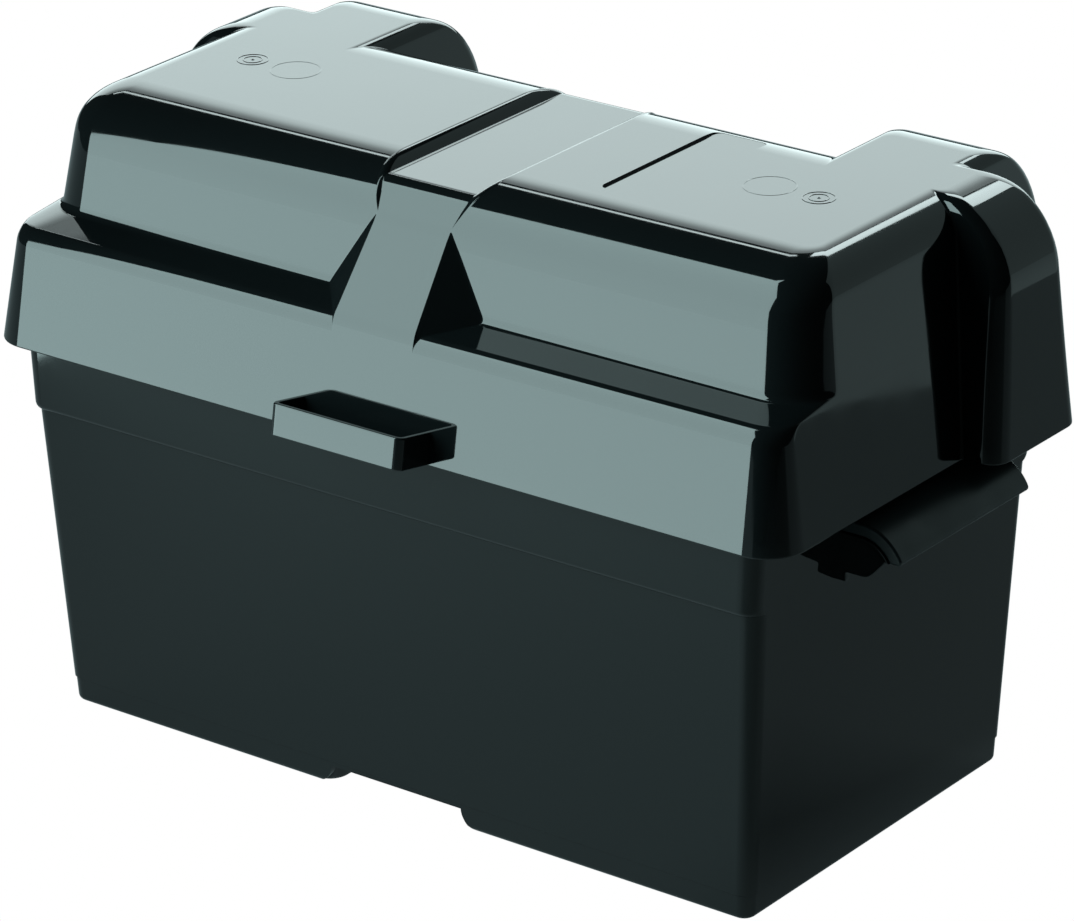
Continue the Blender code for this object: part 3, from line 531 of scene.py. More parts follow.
def ledge_rows(inset):
    """The skirt's rounded edge, the ledge and the hollow fillet at its root. The edge turns in on a
    quarter circle that shrinks with the ledge's width, and the fillet is a quadratic curve that
    leaves the ledge and meets the wall."""
    levels = np.array([LEDGE_EDGE, LEDGE_EDGE - LEDGE_ROUND])
    edge, below = at_level(lower_plan(levels, inset), levels)
    level = np.array([LEDGE_ROOT])
    root = at_level(upper_plan(level, inset), level)[0]
    level = np.array([LEDGE_ROOT + LEDGE_FILLET])
    above = at_level(upper_plan(level, inset), level)[0]
    across = np.linalg.norm(root[:, :2] - edge[:, :2], axis=-1, keepdims=True)
    slope = np.linalg.norm(root - edge, axis=-1, keepdims=True)
    radius = np.minimum(LEDGE_ROUND, slope * LEDGE_ROUND_SHARE)
    angle = np.linspace(0, QUARTER, FINE)[:, None, None]
    drop = (1 - np.sin(angle)) * radius / LEDGE_ROUND
    start = blend(edge, below, drop)
    rows = start + unit(root - edge) * (1 - np.cos(angle)) * radius
    leave = root + unit(rows[-1] - root) * np.minimum(LEDGE_FILLET, across / 3)
    share = np.linspace(0, 1, FILLET_LEVELS)[:, None, None]
    fillet = (1 - share) ** 2 * leave + 2 * share * (1 - share) * root + share ** 2 * above
    return rows, fillet


def track_runs(count):
    """Stations of a ring that cross the gusset's sides or the track's walls, each run from the track's
    floor outwards: at the right front, the right back, the left back and the left front."""
    steps, half = np.arange(len(SIDE_SHARES)), count // 2
    return steps, half - 1 - steps, half + steps, count - 1 - steps


def sink_track(rows, z, inset):
    """Lowers the stretches of each ring that lie in the strap track: their height runs from the
    track's floor up to the ring's own level as the sine of the way across."""
    floor = blend(APEX, TRACK_FLOOR, (z - APEX) / (TOP - APEX))[:, None]
    reach = blend(gusset_depth(floor), top_depth(z)[:, None], SIDE_SHARES) - inset
    height = blend(floor, z[:, None], np.sin(QUARTER * SIDE_SHARES))
    for run in track_runs(rows.shape[1]):
        rows[:, run, 1] = np.copysign(reach, rows[:, run, 1])
        rows[:, run, 2] = height
    return rows


def lid_rows(inset):
    """All rings of one face of the lid's wall, from its rounded lower lip to the flat top. The inner
    face has the same rings, drawn in and lowered by the wall."""
    angle = np.linspace(0, QUARTER, SMALL + 1)
    lip = SKIRT_BOTTOM + inset + LIP_ROUND * (1 - np.cos(angle))
    draw = LIP_ROUND * (1 - np.sin(angle))
    inwards = -1 if inset else 1      # the lip draws the outer face in and the inner face out
    lip_inset = inset + inwards * draw
    skirt = np.linspace(lip[-1], LEDGE_EDGE - LEDGE_ROUND, SKIRT_LEVELS)[1:-1]
    edge, fillet = ledge_rows(inset)
    wall = np.linspace(LEDGE_ROOT + LEDGE_FILLET, APEX, WALL_LEVELS)[1:]
    turn = np.linspace(math.asin(1 - (TOP - APEX) / LEVEL_SPREAD), QUARTER, TOP_LEVELS)[1:]
    top = TOP - LEVEL_SPREAD * (1 - np.sin(turn))
    rows = np.concatenate([
        at_level(lower_plan(lip, lip_inset), lip),
        at_level(lower_plan(skirt, inset), skirt),
        edge,
        fillet,
        at_level(upper_plan(wall, inset), wall),
        sink_track(at_level(upper_plan(top, inset), top), top, inset),
    ])
    rows[:, :, 2] -= inset
    return rows


def top_caps(count, start):
    """Flat faces that close the last ring: the two halves of the top, the strips of the track's walls
    and its floor."""
    right, back_right, back_left, left = [start + run for run in track_runs(count)]
    caps = [list(range(right[-1], back_right[-1] + 1)), list(range(back_left[-1], left[-1] + 1))]
    caps += np.stack([right[:-1], right[1:], back_right[1:], back_right[:-1]], -1).tolist()
    caps += np.stack([back_left[:-1], back_left[1:], left[1:], left[:-1]], -1).tolist()
    caps += [[left[0], right[0], back_right[0], back_left[0]]]
    return caps


def make_lid():
    """The lid's outer and inner face, joined along the lip."""
    outer, inner = lid_rows(0.0), lid_rows(WALL)
    count = outer.shape[1]
    inner_start = outer.shape[0] * count
    faces = grid_faces(outer.shape[0], count) + grid_faces(inner.shape[0], count, inner_start)
    faces += top_caps(count, inner_start - count)
    faces += top_caps(count, inner_start + (inner.shape[0] - 1) * count)
    here, beside = np.arange(count), np.roll(np.arange(count), -1)
    faces += np.stack([here, beside, beside + inner_start, here + inner_start], -1).tolist()
    points = np.concatenate([outer.reshape(-1, 3), inner.reshape(-1, 3)])
    return make_piece("lid_moulding", points, faces)


# Tub

def tub_section(z):
    """Half length, half depth and corner radius of the tub's outside at each height. The long walls
    step out on a quarter ellipse."""
    half_length = RIM_HALF_LENGTH - math.tan(END_DRAFT) * (RIM_HEIGHT - z)
    climb = np.clip((z - STEP_HEIGHT) / STEP_ROUND, 0, 1)
    lower = RIM_HALF_DEPTH - STEP_OUT - math.tan(SIDE_DRAFT) * np.maximum(STEP_HEIGHT - z, 0)
    half_depth = lower + STEP_OUT * np.sqrt(1 - (1 - climb) ** 2)
    return half_length, half_depth, blend(TUB_CORNER_FOOT, TUB_CORNER_RIM, z / RIM_HEIGHT)


def end_wall(z):
    """Half length of the tub at one height."""
    return tub_section(np.array([z]))[0][0]


def side_wall(z):
    """Half depth of the tub at one height."""
    return tub_section(np.array([z]))[1][0]


def tub_rows(z, inset):
    """Rings of the tub at the heights z, drawn in from its outside by the inset."""
    half_length, half_depth, radius = tub_section(z)
    radius = np.maximum(radius - inset, TUB_CORNER_LEAST)
    return at_level(rounded_plan(rectangle(half_length - inset, half_depth - inset, radius)), z)


def channel_section(half, run, base, ceiling):
    """Section of the strap channel in X and Z: the end of each foot is a quarter ellipse."""
    angle = np.linspace(0, QUARTER, FINE + 1)
    x, z = half + run * (1 - np.sin(angle)), ceiling - (ceiling - base) * np.cos(angle)
    return np.concatenate([np.stack([x, z], -1), np.stack([-x, z], -1)[::-1]])


def channel_cutter():
    """The strap channel, from the back to the front. It flares round the corners of the feet on a
    quarter circle."""
    outer = side_wall(0.0) - FOOT_INSET - FOOT_EDGE
    angle = np.linspace(QUARTER, 0, FINE + 1)
    y = np.concatenate([[outer + CUTTER_AHEAD], outer - CHANNEL_FLARE * (1 - np.sin(angle))])
    flare = np.concatenate([[CHANNEL_FLARE], CHANNEL_FLARE * (1 - np.cos(angle))])
    rows = []
    for place, more in zip(np.concatenate([y, -y[::-1]]), np.concatenate([flare, flare[::-1]])):
        section = channel_section(CHANNEL_HALF, CHANNEL_RUN + more, 0.0, CHANNEL_HEIGHT)
        below = section[[-1, 0]] * [1, 0] - [0, CUTTER_BELOW]
        section = np.concatenate([section, below])
        rows.append(np.insert(section, 1, place, axis=1))
    rows = np.array(rows)
    return make_piece("channel_cutter", rows, capped_faces(rows))


def make_tub():
    """The tub in one skin: up its outside from the feet, over the round rim, down its inside and across
    the floor. The hump over the strap channel is then added and the channel cut away."""
    angle = np.linspace(0, QUARTER, EDGE_LEVELS)
    foot = tub_rows(FOOT_EDGE * (1 - np.cos(angle)), FOOT_INSET + FOOT_EDGE * (1 - np.sin(angle)))
    line = tub_rows(np.array([FOOT_LINE - FOOT_LINE_HOLD, FOOT_LINE, FOOT_LINE + FOOT_LINE_RUN]),
                    np.array([FOOT_INSET, FOOT_INSET, 0.0]))
    climb = STEP_HEIGHT + STEP_ROUND * (1 - np.cos(np.linspace(0, QUARTER, STEP_LEVELS)))
    step = tub_rows(climb, 0.0)
    over = np.linspace(0, math.pi, RIM_LEVELS)
    rim = tub_rows(RIM_HEIGHT - RIM_ROUND * (1 - np.sin(over)),
                   np.where(over < QUARTER, RIM_ROUND * (1 - np.cos(over)),
                            WALL - RIM_ROUND * (1 + np.cos(over))))
    inside = tub_rows(climb[::-1], WALL)
    floor = tub_rows(FLOOR + FLOOR_FILLET * (1 - np.sin(angle)),
                     WALL + FLOOR_FILLET * (1 - np.cos(angle)))
    rows = np.concatenate([foot, line, step, rim, inside, floor])
    tub = make_piece("tub_moulding", rows, capped_faces(rows))
    section = channel_section(CHANNEL_HALF + FLOOR, CHANNEL_RUN, FLOOR / 2, CHANNEL_HEIGHT + FLOOR)
    hump = rounded_prism("hump", section, side_wall(HUMP_LEVEL) - WALL / 2, HUMP_EDGE, lay_across())
    carve(tub, hump, 'UNION')
    return carve(tub, channel_cutter())


# Handles

HANDLE_TOP = 166.9 * MM
HANDLE_OUT = 33.1 * MM         # from the tub's rim to the outside of the grip
HANDLE_HALF = 47.5 * MM
GRIP_RADIUS = 22 * MM
GRIP_THICKNESS = 5.8 * MM
GRIP_DROP = 14.5 * MM          # from the top of the handle down to its lip
GRIP_WALL_GAP = 1.5 * MM
GRIP_END_GAP = 0.2 * MM
GRIP_UNDER_GAP = 0.3 * MM
GRIP_EDGE = 1.2 * MM
GRIP_ROOT_ROUND_OUTER = 1.8 * MM
GRIP_ROOT_ROUND_INNER = 1.2 * MM
GRIP_LIP_ROUND_OUTER = 1.7 * MM
GRIP_LIP_ROUND_INNER = 1.5 * MM
GRIP_LIP_TURN_OUTER = 9        # degrees before the lip at which the arc ends, to leave its round room
GRIP_LIP_TURN_INNER = 7
OUTER_ARC = 20                 # facets in the handle's curves
INNER_ARC = 16
WEB_DROP = 23.2 * MM           # from the top of the handle down to the web's underside
RIB_DROP = 27.4 * MM           # and to the foot of the narrow rib
WEB_REACH = 17.8 * MM          # from the wall to where the underside turns up
WEB_ROUND = 9 * MM
RIB_WIDTH = 6.8 * MM
RIB_ROUND = 0.8 * MM
BRACKET_EDGE = 0.5 * MM
HANDLE_CENTRE = (RIM_HALF_LENGTH + HANDLE_OUT - GRIP_RADIUS, HANDLE_TOP - GRIP_RADIUS)
FLANGE_RADIUS = GRIP_RADIUS - GRIP_THICKNESS - GRIP_UNDER_GAP


def lip_angle(radius):
    """Angle at which an arc about the handle's centre comes down to the lip, in degrees."""
    return math.degrees(math.asin((GRIP_RADIUS - GRIP_DROP) / radius))


def grip_outline():
    """A thick pad over the handle's curve, in X and Z, down to the handle's lip."""
    x, z = HANDLE_CENTRE
    inner, lip = GRIP_RADIUS - GRIP_THICKNESS, HANDLE_TOP - GRIP_DROP
    root = end_wall(HANDLE_TOP) + GRIP_WALL_GAP
    lip_outer, lip_inner = [x + radius * math.cos(math.radians(lip_angle(radius)))
                            for radius in (GRIP_RADIUS, inner)]
    corners = [(root, z + inner, GRIP_ROOT_ROUND_INNER, SMALL),
               (root, z + GRIP_RADIUS, GRIP_ROOT_ROUND_OUTER, FINE)]
    corners += arc_corners(HANDLE_CENTRE, GRIP_RADIUS, 90,
                           lip_angle(GRIP_RADIUS) + GRIP_LIP_TURN_OUTER, OUTER_ARC)
    corners += [(lip_outer, lip, GRIP_LIP_ROUND_OUTER, FINE),
                (lip_inner, lip, GRIP_LIP_ROUND_INNER, FINE)]
    corners += arc_corners(HANDLE_CENTRE, inner, lip_angle(inner) + GRIP_LIP_TURN_INNER, 90, INNER_ARC)
    return plan_of(corners[::-1])


def flange_outline():
    """The curved plate under the grip, from inside the wall out, round and down to the lip."""
    x, z = HANDLE_CENTRE
    inner = FLANGE_RADIUS - WALL
    root = end_wall(HANDLE_TOP) - WALL / 2
    corners = [(root, z + FLANGE_RADIUS, 0.0, 0)]
    corners += arc_corners(HANDLE_CENTRE, FLANGE_RADIUS, 90, lip_angle(FLANGE_RADIUS), OUTER_ARC)
    corners += arc_corners(HANDLE_CENTRE, inner, lip_angle(inner), 90, OUTER_ARC)
    corners += [(root, z + inner, 0.0, 0)]
    return plan_of(corners[::-1])


def web_outline():
    """The end web that closes the handle's curve and stands on a narrow rib at the wall."""
    x, z = HANDLE_CENTRE
    middle = FLANGE_RADIUS - WALL / 2
    lower, foot = HANDLE_TOP - WEB_DROP, HANDLE_TOP - RIB_DROP
    wall = end_wall(lower)
    corners = [(wall - WALL / 2, z + middle, 0.0, 0)]
    corners += arc_corners(HANDLE_CENTRE, middle, 90, lip_angle(middle), INNER_ARC)
    corners += [(wall + WEB_REACH, lower, WEB_ROUND, FINE),
                (wall + RIB_WIDTH, lower, RIB_ROUND, SMALL),
                (wall + RIB_WIDTH, foot, RIB_ROUND, SMALL),
                (end_wall(foot) - WALL / 2, foot, 0.0, 0)]
    return plan_of(corners[::-1])


def mirrored(outline, side):
    """The same outline for the right (1) or the left (-1) end, still turning the same way."""
    return outline if side > 0 else (outline * [-1, 1])[::-1]


def make_bracket(side, label):
    """Bracket of one handle: the curved flange with a web at each end."""
    pieces = [rounded_prism(label + "_handle_flange", mirrored(flange_outline(), side), HANDLE_HALF,
                            BRACKET_EDGE, lay_across())]
    for end, where in ((-1, "front"), (1, "back")):
        pieces.append(rounded_prism(label + "_handle_" + where + "_web", mirrored(web_outline(), side),
                                    WALL / 2, BRACKET_EDGE, lay_across(end * (HANDLE_HALF - WALL / 2))))
    return pieces


def make_grip(side, label):
    """The grip pad of one handle."""
    return rounded_prism(label + "_grip_pad", mirrored(grip_outline(), side),
                         HANDLE_HALF - GRIP_END_GAP, GRIP_EDGE, lay_across())


# Details of the lid

LOOP_LEVEL = 7.5 * MM          # middle of the strap loop, above the skirt's lower edge
LOOP_CORNER = 4 * MM
LOOP_INNER_CORNER = 1.4 * MM
LOOP_EDGE = 0.8 * MM
LABEL_CENTRE = (78.9 * MM, 9 * MM)
LABEL_CORNER = 4 * MM
LABEL_EDGE = 0.05 * MM
RING_FACETS = 64               # round a mark
BEAD_FACETS = 12               # round the bead that draws it

# The moulder's marks: name, distance along X from their own middle, radius of the ring, half thickness
# of its bead and how far its crest stands proud, all in millimetres.
MARKS_MIDDLE = (-2.6, 8)
MARKS = (
    ("gate_dot", 148.9, 0.5, 0.45, 0.2),
    ("gate_inner_ring", 148.9, 4.1, 0.3, 0.2),
    ("gate_outer_ring", 148.9, 6.8, 0.3, 0.2),
    ("ejector_ring", 124.8, 11, 0.3, 0.1),
)


def make_loop(settings):
    """The strap loop: a flat band bent into a U, square to the leaning skirt."""
    half, depth, wall = settings.loop_width / 2, settings.loop_reach, settings.loop_wall
    root = WALL / 2
    outline = plan_of([
        (-half, root, 0.0, 0), (-half, -depth, LOOP_CORNER, FINE),
        (half, -depth, LOOP_CORNER, FINE), (half, root, 0.0, 0),
        (half - wall, root, 0.0, 0), (half - wall, wall - depth, LOOP_INNER_CORNER, FINE),
        (wall - half, wall - depth, LOOP_INNER_CORNER, FINE), (wall - half, root, 0.0, 0)])
    middle = SKIRT_BOTTOM + LOOP_LEVEL
    cos, sin = math.cos(SKIRT_DRAFT), math.sin(SKIRT_DRAFT)

    def place(u, v, w):
        return u, v * cos + w * sin - skirt_depth(middle), w * cos - v * sin + middle
    return rounded_prism("strap_loop", outline, settings.loop_height / 2, LOOP_EDGE, place)


def label_cutter(settings):
    """A thin block about the level of the flat top, whose lower half sinks the label recess."""
    outline = plan_of(rectangle(settings.label_width / 2, settings.label_length / 2, LABEL_CORNER))

    def place(u, v, w):
        return u + LABEL_CENTRE[0], v + LABEL_CENTRE[1], w + TOP
    return rounded_prism("label", outline, settings.label_depth, LABEL_EDGE, place)


def ring_bead(name, centre, radius, thickness, rise):
    """A fine ring on the flat top: a torus sunk so far that only its crest stands proud by rise."""
    turn = np.linspace(0, 2 * math.pi, RING_FACETS + 1)[:-1, None]
    tube = np.linspace(0, 2 * math.pi, BEAD_FACETS + 1)[None, :-1]
    reach = radius + thickness * np.cos(tube)
    points = np.stack([centre[0] + reach * np.cos(turn), centre[1] + reach * np.sin(turn),
                       TOP + rise - thickness + thickness * np.sin(tube) + 0 * turn], -1)
    here = np.arange(RING_FACETS * BEAD_FACETS).reshape(RING_FACETS, BEAD_FACETS)
    beside, above = np.roll(here, -1, axis=1), np.roll(here, -1, axis=0)
    quads = np.stack([here, above, np.roll(above, -1, axis=1), beside], -1).reshape(-1, 4).tolist()
    return make_piece(name, points, quads)


# Finishes

POLYPROPYLENE_IOR = 1.49
SINK_WAVE = 60 * MM
FILM_PATCH = 18 * MM
SPARK_GRAIN = 0.9 * MM
WORN_PATCH = 22 * MM
NOISE_LOW = 0.35               # nearly all values of a noise lie between these two
NOISE_HIGH = 0.65


def polypropylene(name, hex_code, roughness, swing, relief, patches, bump):
    """Moulded polypropylene. The relief noise lifts the surface as the bump says, and the patches
    noise moves the roughness to either side of its mean, by at most the swing as a share of it."""
    material, tree = empty_material(name)
    place = add_node(tree, "ShaderNodeTexCoord")
    height, gloss = [
        add_node(tree, "ShaderNodeTexNoise", {"noise_dimensions": '3D'}, noise,
                 {"Vector": place.outputs["Object"]})
        for noise in (relief, patches)]
    lifted = add_node(tree, "ShaderNodeBump", None, bump, {"Height": height.outputs["Fac"]})
    polish = add_node(tree, "ShaderNodeMapRange", None,
                      {"From Min": NOISE_LOW, "From Max": NOISE_HIGH,
                       "To Min": (1 - swing) * roughness, "To Max": (1 + swing) * roughness},
                      {"Value": gloss.outputs["Fac"]})
    shader = add_node(tree, "ShaderNodeBsdfPrincipled", None,
                      {"Base Color": linear_colour(hex_code), "IOR": POLYPROPYLENE_IOR},
                      {"Normal": lifted.outputs["Normal"], "Roughness": polish.outputs["Result"]})
    add_node(tree, "ShaderNodeOutputMaterial", None, None, {"Surface": shader.outputs["BSDF"]})
    return material


def gloss_polypropylene(finish):
    """Black polypropylene from a polished mould: a deep gloss with faint sink waves, and a film that
    dulls it a little in patches."""
    return polypropylene(
        "glossy_polypropylene", finish.gloss_colour, finish.gloss_roughness, 0.3,
        relief={"Scale": 1 / SINK_WAVE, "Detail": 1.0, "Roughness": 0.4},
        patches={"Scale": 1 / FILM_PATCH, "Detail": 4.0, "Roughness": 0.55},
        bump={"Strength": 0.05, "Distance": 1 * MM})


def satin_polypropylene(finish):
    """Satin polypropylene from a spark-eroded mould: broad soft highlights over a fine even grain, a
    little shinier where hands have held it. The real grain is about 0.2 mm, too fine to show, so it is
    drawn coarser."""
    return polypropylene(
        "satin_polypropylene", finish.grip_colour, finish.grip_roughness, 0.15,
        relief={"Scale": 1 / SPARK_GRAIN, "Detail": 2.0, "Roughness": 0.5},
        patches={"Scale": 1 / WORN_PATCH, "Detail": 3.0, "Roughness": 0.5},
        bump={"Strength": 0.25, "Distance": 0.05 * MM})


# Settings

class FinishSettings(bpy.types.PropertyGroup):
    gloss_colour: StringProperty(
        name="Gloss colour", description="Colour of the mouldings, as a hex value",
        default="#0e1213")
    gloss_roughness: FloatProperty(
        name="Gloss roughness", description="Roughness of the polished mouldings",
        default=0.05, min=0.0, max=1.0, subtype='FACTOR')
    grip_colour: StringProperty(
        name="Grip colour", description="Colour of the grips, as a hex value",
        default="#252e30")
    grip_roughness: FloatProperty(
        name="Grip roughness", description="Roughness of the satin grips",
        default=0.38, min=0.0, max=1.0, subtype='FACTOR')


class DetailSettings(bpy.types.PropertyGroup):
    loop_width: FloatProperty(
        name="Loop width", description="Size of the strap loop along the box",
        default=69 * MM, min=0.0, unit='LENGTH')
    loop_reach: FloatProperty(
        name="Loop reach", description="How far the strap loop stands out from the skirt",
        default=20 * MM, min=0.0, unit='LENGTH')
    loop_height: FloatProperty(
        name="Loop height", description="Height of the strap loop's band",
        default=14 * MM, min=0.0, unit='LENGTH')
    loop_wall: FloatProperty(
        name="Loop wall", description="Thickness of the strap loop's band",
        default=2.6 * MM, min=0.0, unit='LENGTH')
    label_width: FloatProperty(
        name="Label width", description="Size of the label recess along the box",
        default=27 * MM, min=0.0, unit='LENGTH')
    label_length: FloatProperty(
        name="Label length", description="Size of the label recess across the box",
        default=83 * MM, min=0.0, unit='LENGTH')
    label_depth: FloatProperty(
        name="Label depth", description="Depth of the label recess",
        default=1 * MM, min=0.0, unit='LENGTH')


class StageSettings(bpy.types.PropertyGroup):
    camera_azimuth: FloatProperty(
        name="Azimuth", description="Camera's angle round the box, from the front to the right",
        default=math.radians(37.706), subtype='ANGLE', unit='ROTATION')
    camera_elevation: FloatProperty(
        name="Elevation", description="Camera's angle above the horizon",
        default=math.radians(23.2095), subtype='ANGLE', unit='ROTATION')
    camera_roll: FloatProperty(
        name="Roll", description="Camera's tilt about its own axis",
        default=math.radians(-1.0122), subtype='ANGLE', unit='ROTATION')
    camera_distance: FloatProperty(
        name="Distance", description="From the camera to its target",
        default=2.43384, unit='LENGTH')
    camera_target: FloatVectorProperty(
        name="Target", description="Point that the camera looks at",
        default=(0.0014154, 0.0, 0.127756), subtype='TRANSLATION', unit='LENGTH')
    camera_lens: FloatProperty(
        name="Lens", description="Focal length", default=190.81, unit='CAMERA')
    front_panel_light: FloatProperty(
        name="Front panels", description="Radiance of the two tall panels at the left of the front",
        default=7.1, min=0.0)
    back_panel_light: FloatProperty(
        name="Back panel", description="Radiance of the panel behind the box",
        default=3.5, min=0.0)
    right_bar_light: FloatProperty(
        name="Right bar", description="Radiance of the high bar that lights the right end's upper edge",
        default=8.4, min=0.0)
    left_bar_light: FloatProperty(
        name="Left bar", description="Radiance of the high bar that draws the line along the front's edge",
        default=6.3, min=0.0)
    fill_panel_light: FloatProperty(
        name="Fill panel", description="Radiance of the dim panel at the back's right",
        default=0.38, min=0.0)
    front_colour: StringProperty(
        name="Front light", description="Colour of the front panels and the fill, as a hex value",
        default="#d4f4f4")
    back_colour: StringProperty(
        name="Back light", description="Colour of the back panel and the bars, as a hex value",
        default="#e2f4f4")
    paper_colour: StringProperty(
        name="Paper", description="Colour of the floor, as a hex value", default="#7c8080")
    room_colour: StringProperty(
        name="Room", description="Colour of the room round the stage, as a hex value",
        default="#1c2020")


# Stage

IMAGE_WIDTH = 1074
IMAGE_HEIGHT = 921
IMAGE_CENTRE = (527.739, 459.353)      # pixel where the camera's axis meets the picture
SENSOR_WIDTH = 36.0                    # in mm
PAPER_SIZE = 6.0

# The back panel's light falls along its height, from one share of it to another, to a lower level.
BACK_FADE = ("Y", 0.64, 0.96, 0.42)

# What mirror rays see of the paper, as a share of white, along X and along Y. The brighter one counts.
# This is painted light and shade on the floor: a painted pool of light at low X, painted shade at high X
# in front, and a dim painted level at high X behind.
PAPER_GLOW = "#d4f4f8"
PAINTED_FLOOR_LIGHT_ALONG_X = {"From Min": 0.12, "From Max": 0.26, "To Min": 0.3, "To Max": 0.02}
PAINTED_FLOOR_LIGHT_ALONG_Y = {"From Min": -0.16, "From Max": 0.1, "To Min": 0.02, "To Max": 0.12}


def panel(name, width, height, centre, aim, radiance, colour, fade=None):
    """A rectangular lamp whose face shines with an even radiance. Its power is radiance times area
    times pi. fade is (axis, start, end, level): along the panel's width (X) or height (Y) its light
    falls smoothly to a level between two shares of the way."""
    lamp = bpy.data.lights.new(name, 'AREA')
    lamp.shape = 'RECTANGLE'
    lamp.size = width
    lamp.size_y = height
    lamp.color = colour[:3]
    lamp.energy = radiance * width * height * math.pi
    if fade:
        axis, start, end, level = fade
        lamp.use_nodes = True
        tree = lamp.node_tree
        tree.nodes.clear()
        place = add_node(tree, "ShaderNodeNewGeometry")
        split = add_node(tree, "ShaderNodeSeparateXYZ", None, None,
                         {"Vector": place.outputs["Parametric"]})
        share = add_node(tree, "ShaderNodeMapRange", {"interpolation_type": 'SMOOTHSTEP'},
                         {"From Min": start, "From Max": end, "To Min": 1.0, "To Max": level},
                         {"Value": split.outputs[axis]})
        glow = add_node(tree, "ShaderNodeEmission", None, None, {"Strength": share.outputs["Result"]})
        add_node(tree, "ShaderNodeOutputLight", None, None, {"Surface": glow.outputs[0]})
    item = bpy.data.objects.new(name, lamp)
    bpy.context.scene.collection.objects.link(item)
    item.location = centre
    direction = Vector(aim) - Vector(centre)
    item.rotation_euler = direction.to_track_quat('-Z', 'Y').to_euler()
    item.visible_camera = False
    return item


def studio_paper(hex_code):
    """Matt paper. The camera and clear parts see it at an even white. Mirror rays see only a share of that
    white: most where X is low, next to nothing where X is high in front, and a dim level where X is high
    behind. That share is painted light and shade on the floor, seen only in reflections. In a Mix node of
    colours, inputs 6 and 7 and output 2 are the colours."""
    material, tree = empty_material("studio_paper")
    place = add_node(tree, "ShaderNodeTexCoord")
    split = add_node(tree, "ShaderNodeSeparateXYZ", None, None, {0: place.outputs["Object"]})
    # Painted light and shade on the floor for mirror rays: bright at low X, painted shade at high X in
    # front, dim at high X behind.
    along_x, along_y = [
        add_node(tree, "ShaderNodeMapRange", {"interpolation_type": 'SMOOTHSTEP'}, shares,
                 {"Value": split.outputs[axis]})
        for axis, shares in (("X", PAINTED_FLOOR_LIGHT_ALONG_X), ("Y", PAINTED_FLOOR_LIGHT_ALONG_Y))]
    share = add_node(tree, "ShaderNodeMath", {"operation": 'MAXIMUM'}, None,
                     {0: along_x.outputs["Result"], 1: along_y.outputs["Result"]})
    paths = add_node(tree, "ShaderNodeLightPath")
    direct = add_node(tree, "ShaderNodeMath", {"operation": 'MAXIMUM'}, None,
                      {0: paths.outputs["Is Camera Ray"], 1: paths.outputs["Is Transmission Ray"]})
    seen = add_node(tree, "ShaderNodeMath", {"operation": 'MULTIPLY_ADD', "use_clamp": True}, None,
                    {0: paths.outputs["Is Glossy Ray"], 1: share.outputs[0], 2: direct.outputs[0]})
    paper = add_node(tree, "ShaderNodeBsdfDiffuse", None, {"Color": linear_colour(hex_code)})
    tint = add_node(tree, "ShaderNodeMix", {"data_type": 'RGBA'},
                    {6: linear_colour("#ffffff"), 7: linear_colour(PAPER_GLOW)},
                    {0: paths.outputs["Is Glossy Ray"]})
    glow = add_node(tree, "ShaderNodeEmission", None, {"Strength": 1.0}, {"Color": tint.outputs[2]})
    mixed = add_node(tree, "ShaderNodeMixShader", None, None,
                     {0: seen.outputs[0], 1: paper.outputs[0], 2: glow.outputs[0]})
    add_node(tree, "ShaderNodeOutputMaterial", None, None, {"Surface": mixed.outputs[0]})
    return material


def make_camera(settings):
    """A camera that stands back from its target along the azimuth and the elevation, is rolled about
    that line, and is shifted so that its axis meets the picture at the right pixel."""
    azimuth, elevation = settings.camera_azimuth, settings.camera_elevation
    back = Vector((math.sin(azimuth) * math.cos(elevation),
                   -math.cos(azimuth) * math.cos(elevation), math.sin(elevation)))
    level = Vector((0.0, 0.0, 1.0)).cross(back).normalized()
    upward = back.cross(level)
    cos_roll, sin_roll = math.cos(settings.camera_roll), math.sin(settings.camera_roll)
    right = level * cos_roll + upward * sin_roll
    up = upward * cos_roll - level * sin_roll
    turn = Matrix((right, up, back)).transposed().to_4x4()
    place = Vector(settings.camera_target) + back * settings.camera_distance
    lens = bpy.data.cameras.new("camera")
    lens.sensor_width = SENSOR_WIDTH
    lens.lens = settings.camera_lens
    lens.shift_x = (IMAGE_WIDTH / 2 - IMAGE_CENTRE[0]) / IMAGE_WIDTH
    lens.shift_y = (IMAGE_CENTRE[1] - IMAGE_HEIGHT / 2) / IMAGE_WIDTH
    item = bpy.data.objects.new("camera", lens)
    item.matrix_world = Matrix.Translation(place) @ turn
    bpy.context.scene.collection.objects.link(item)
    bpy.context.scene.camera = item


# Operators

class BATTERYBOX_OT_tub(bpy.types.Operator):
    """Makes the smooth tub"""
    bl_idname = "battery_box.tub"
    bl_label = "Tub"

    def execute(self, context):
        gloss = gloss_polypropylene(context.scene.battery_box_finish)
        tub = finish_piece(make_tub(), gloss, "tub")
        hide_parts("battery_tub")
        return {'FINISHED'}


class BATTERYBOX_OT_brackets(bpy.types.Operator):
    """Makes the two handle brackets with their webs"""
    bl_idname = "battery_box.brackets"
    bl_label = "Handle brackets"

    def execute(self, context):
        gloss = gloss_polypropylene(context.scene.battery_box_finish)
        for side, label in SIDES:
            for piece in make_bracket(side, label):
                finish_piece(piece, gloss, "tub")
        return {'FINISHED'}


class BATTERYBOX_OT_grips(bpy.types.Operator):
    """Makes the two satin grips"""
    bl_idname = "battery_box.grips"
    bl_label = "Grips"

    def execute(self, context):
        satin = satin_polypropylene(context.scene.battery_box_finish)
        for side, label in SIDES:
            grip = finish_piece(make_grip(side, label), satin, "tub")
            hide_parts(label + "_handle_grip")
        return {'FINISHED'}


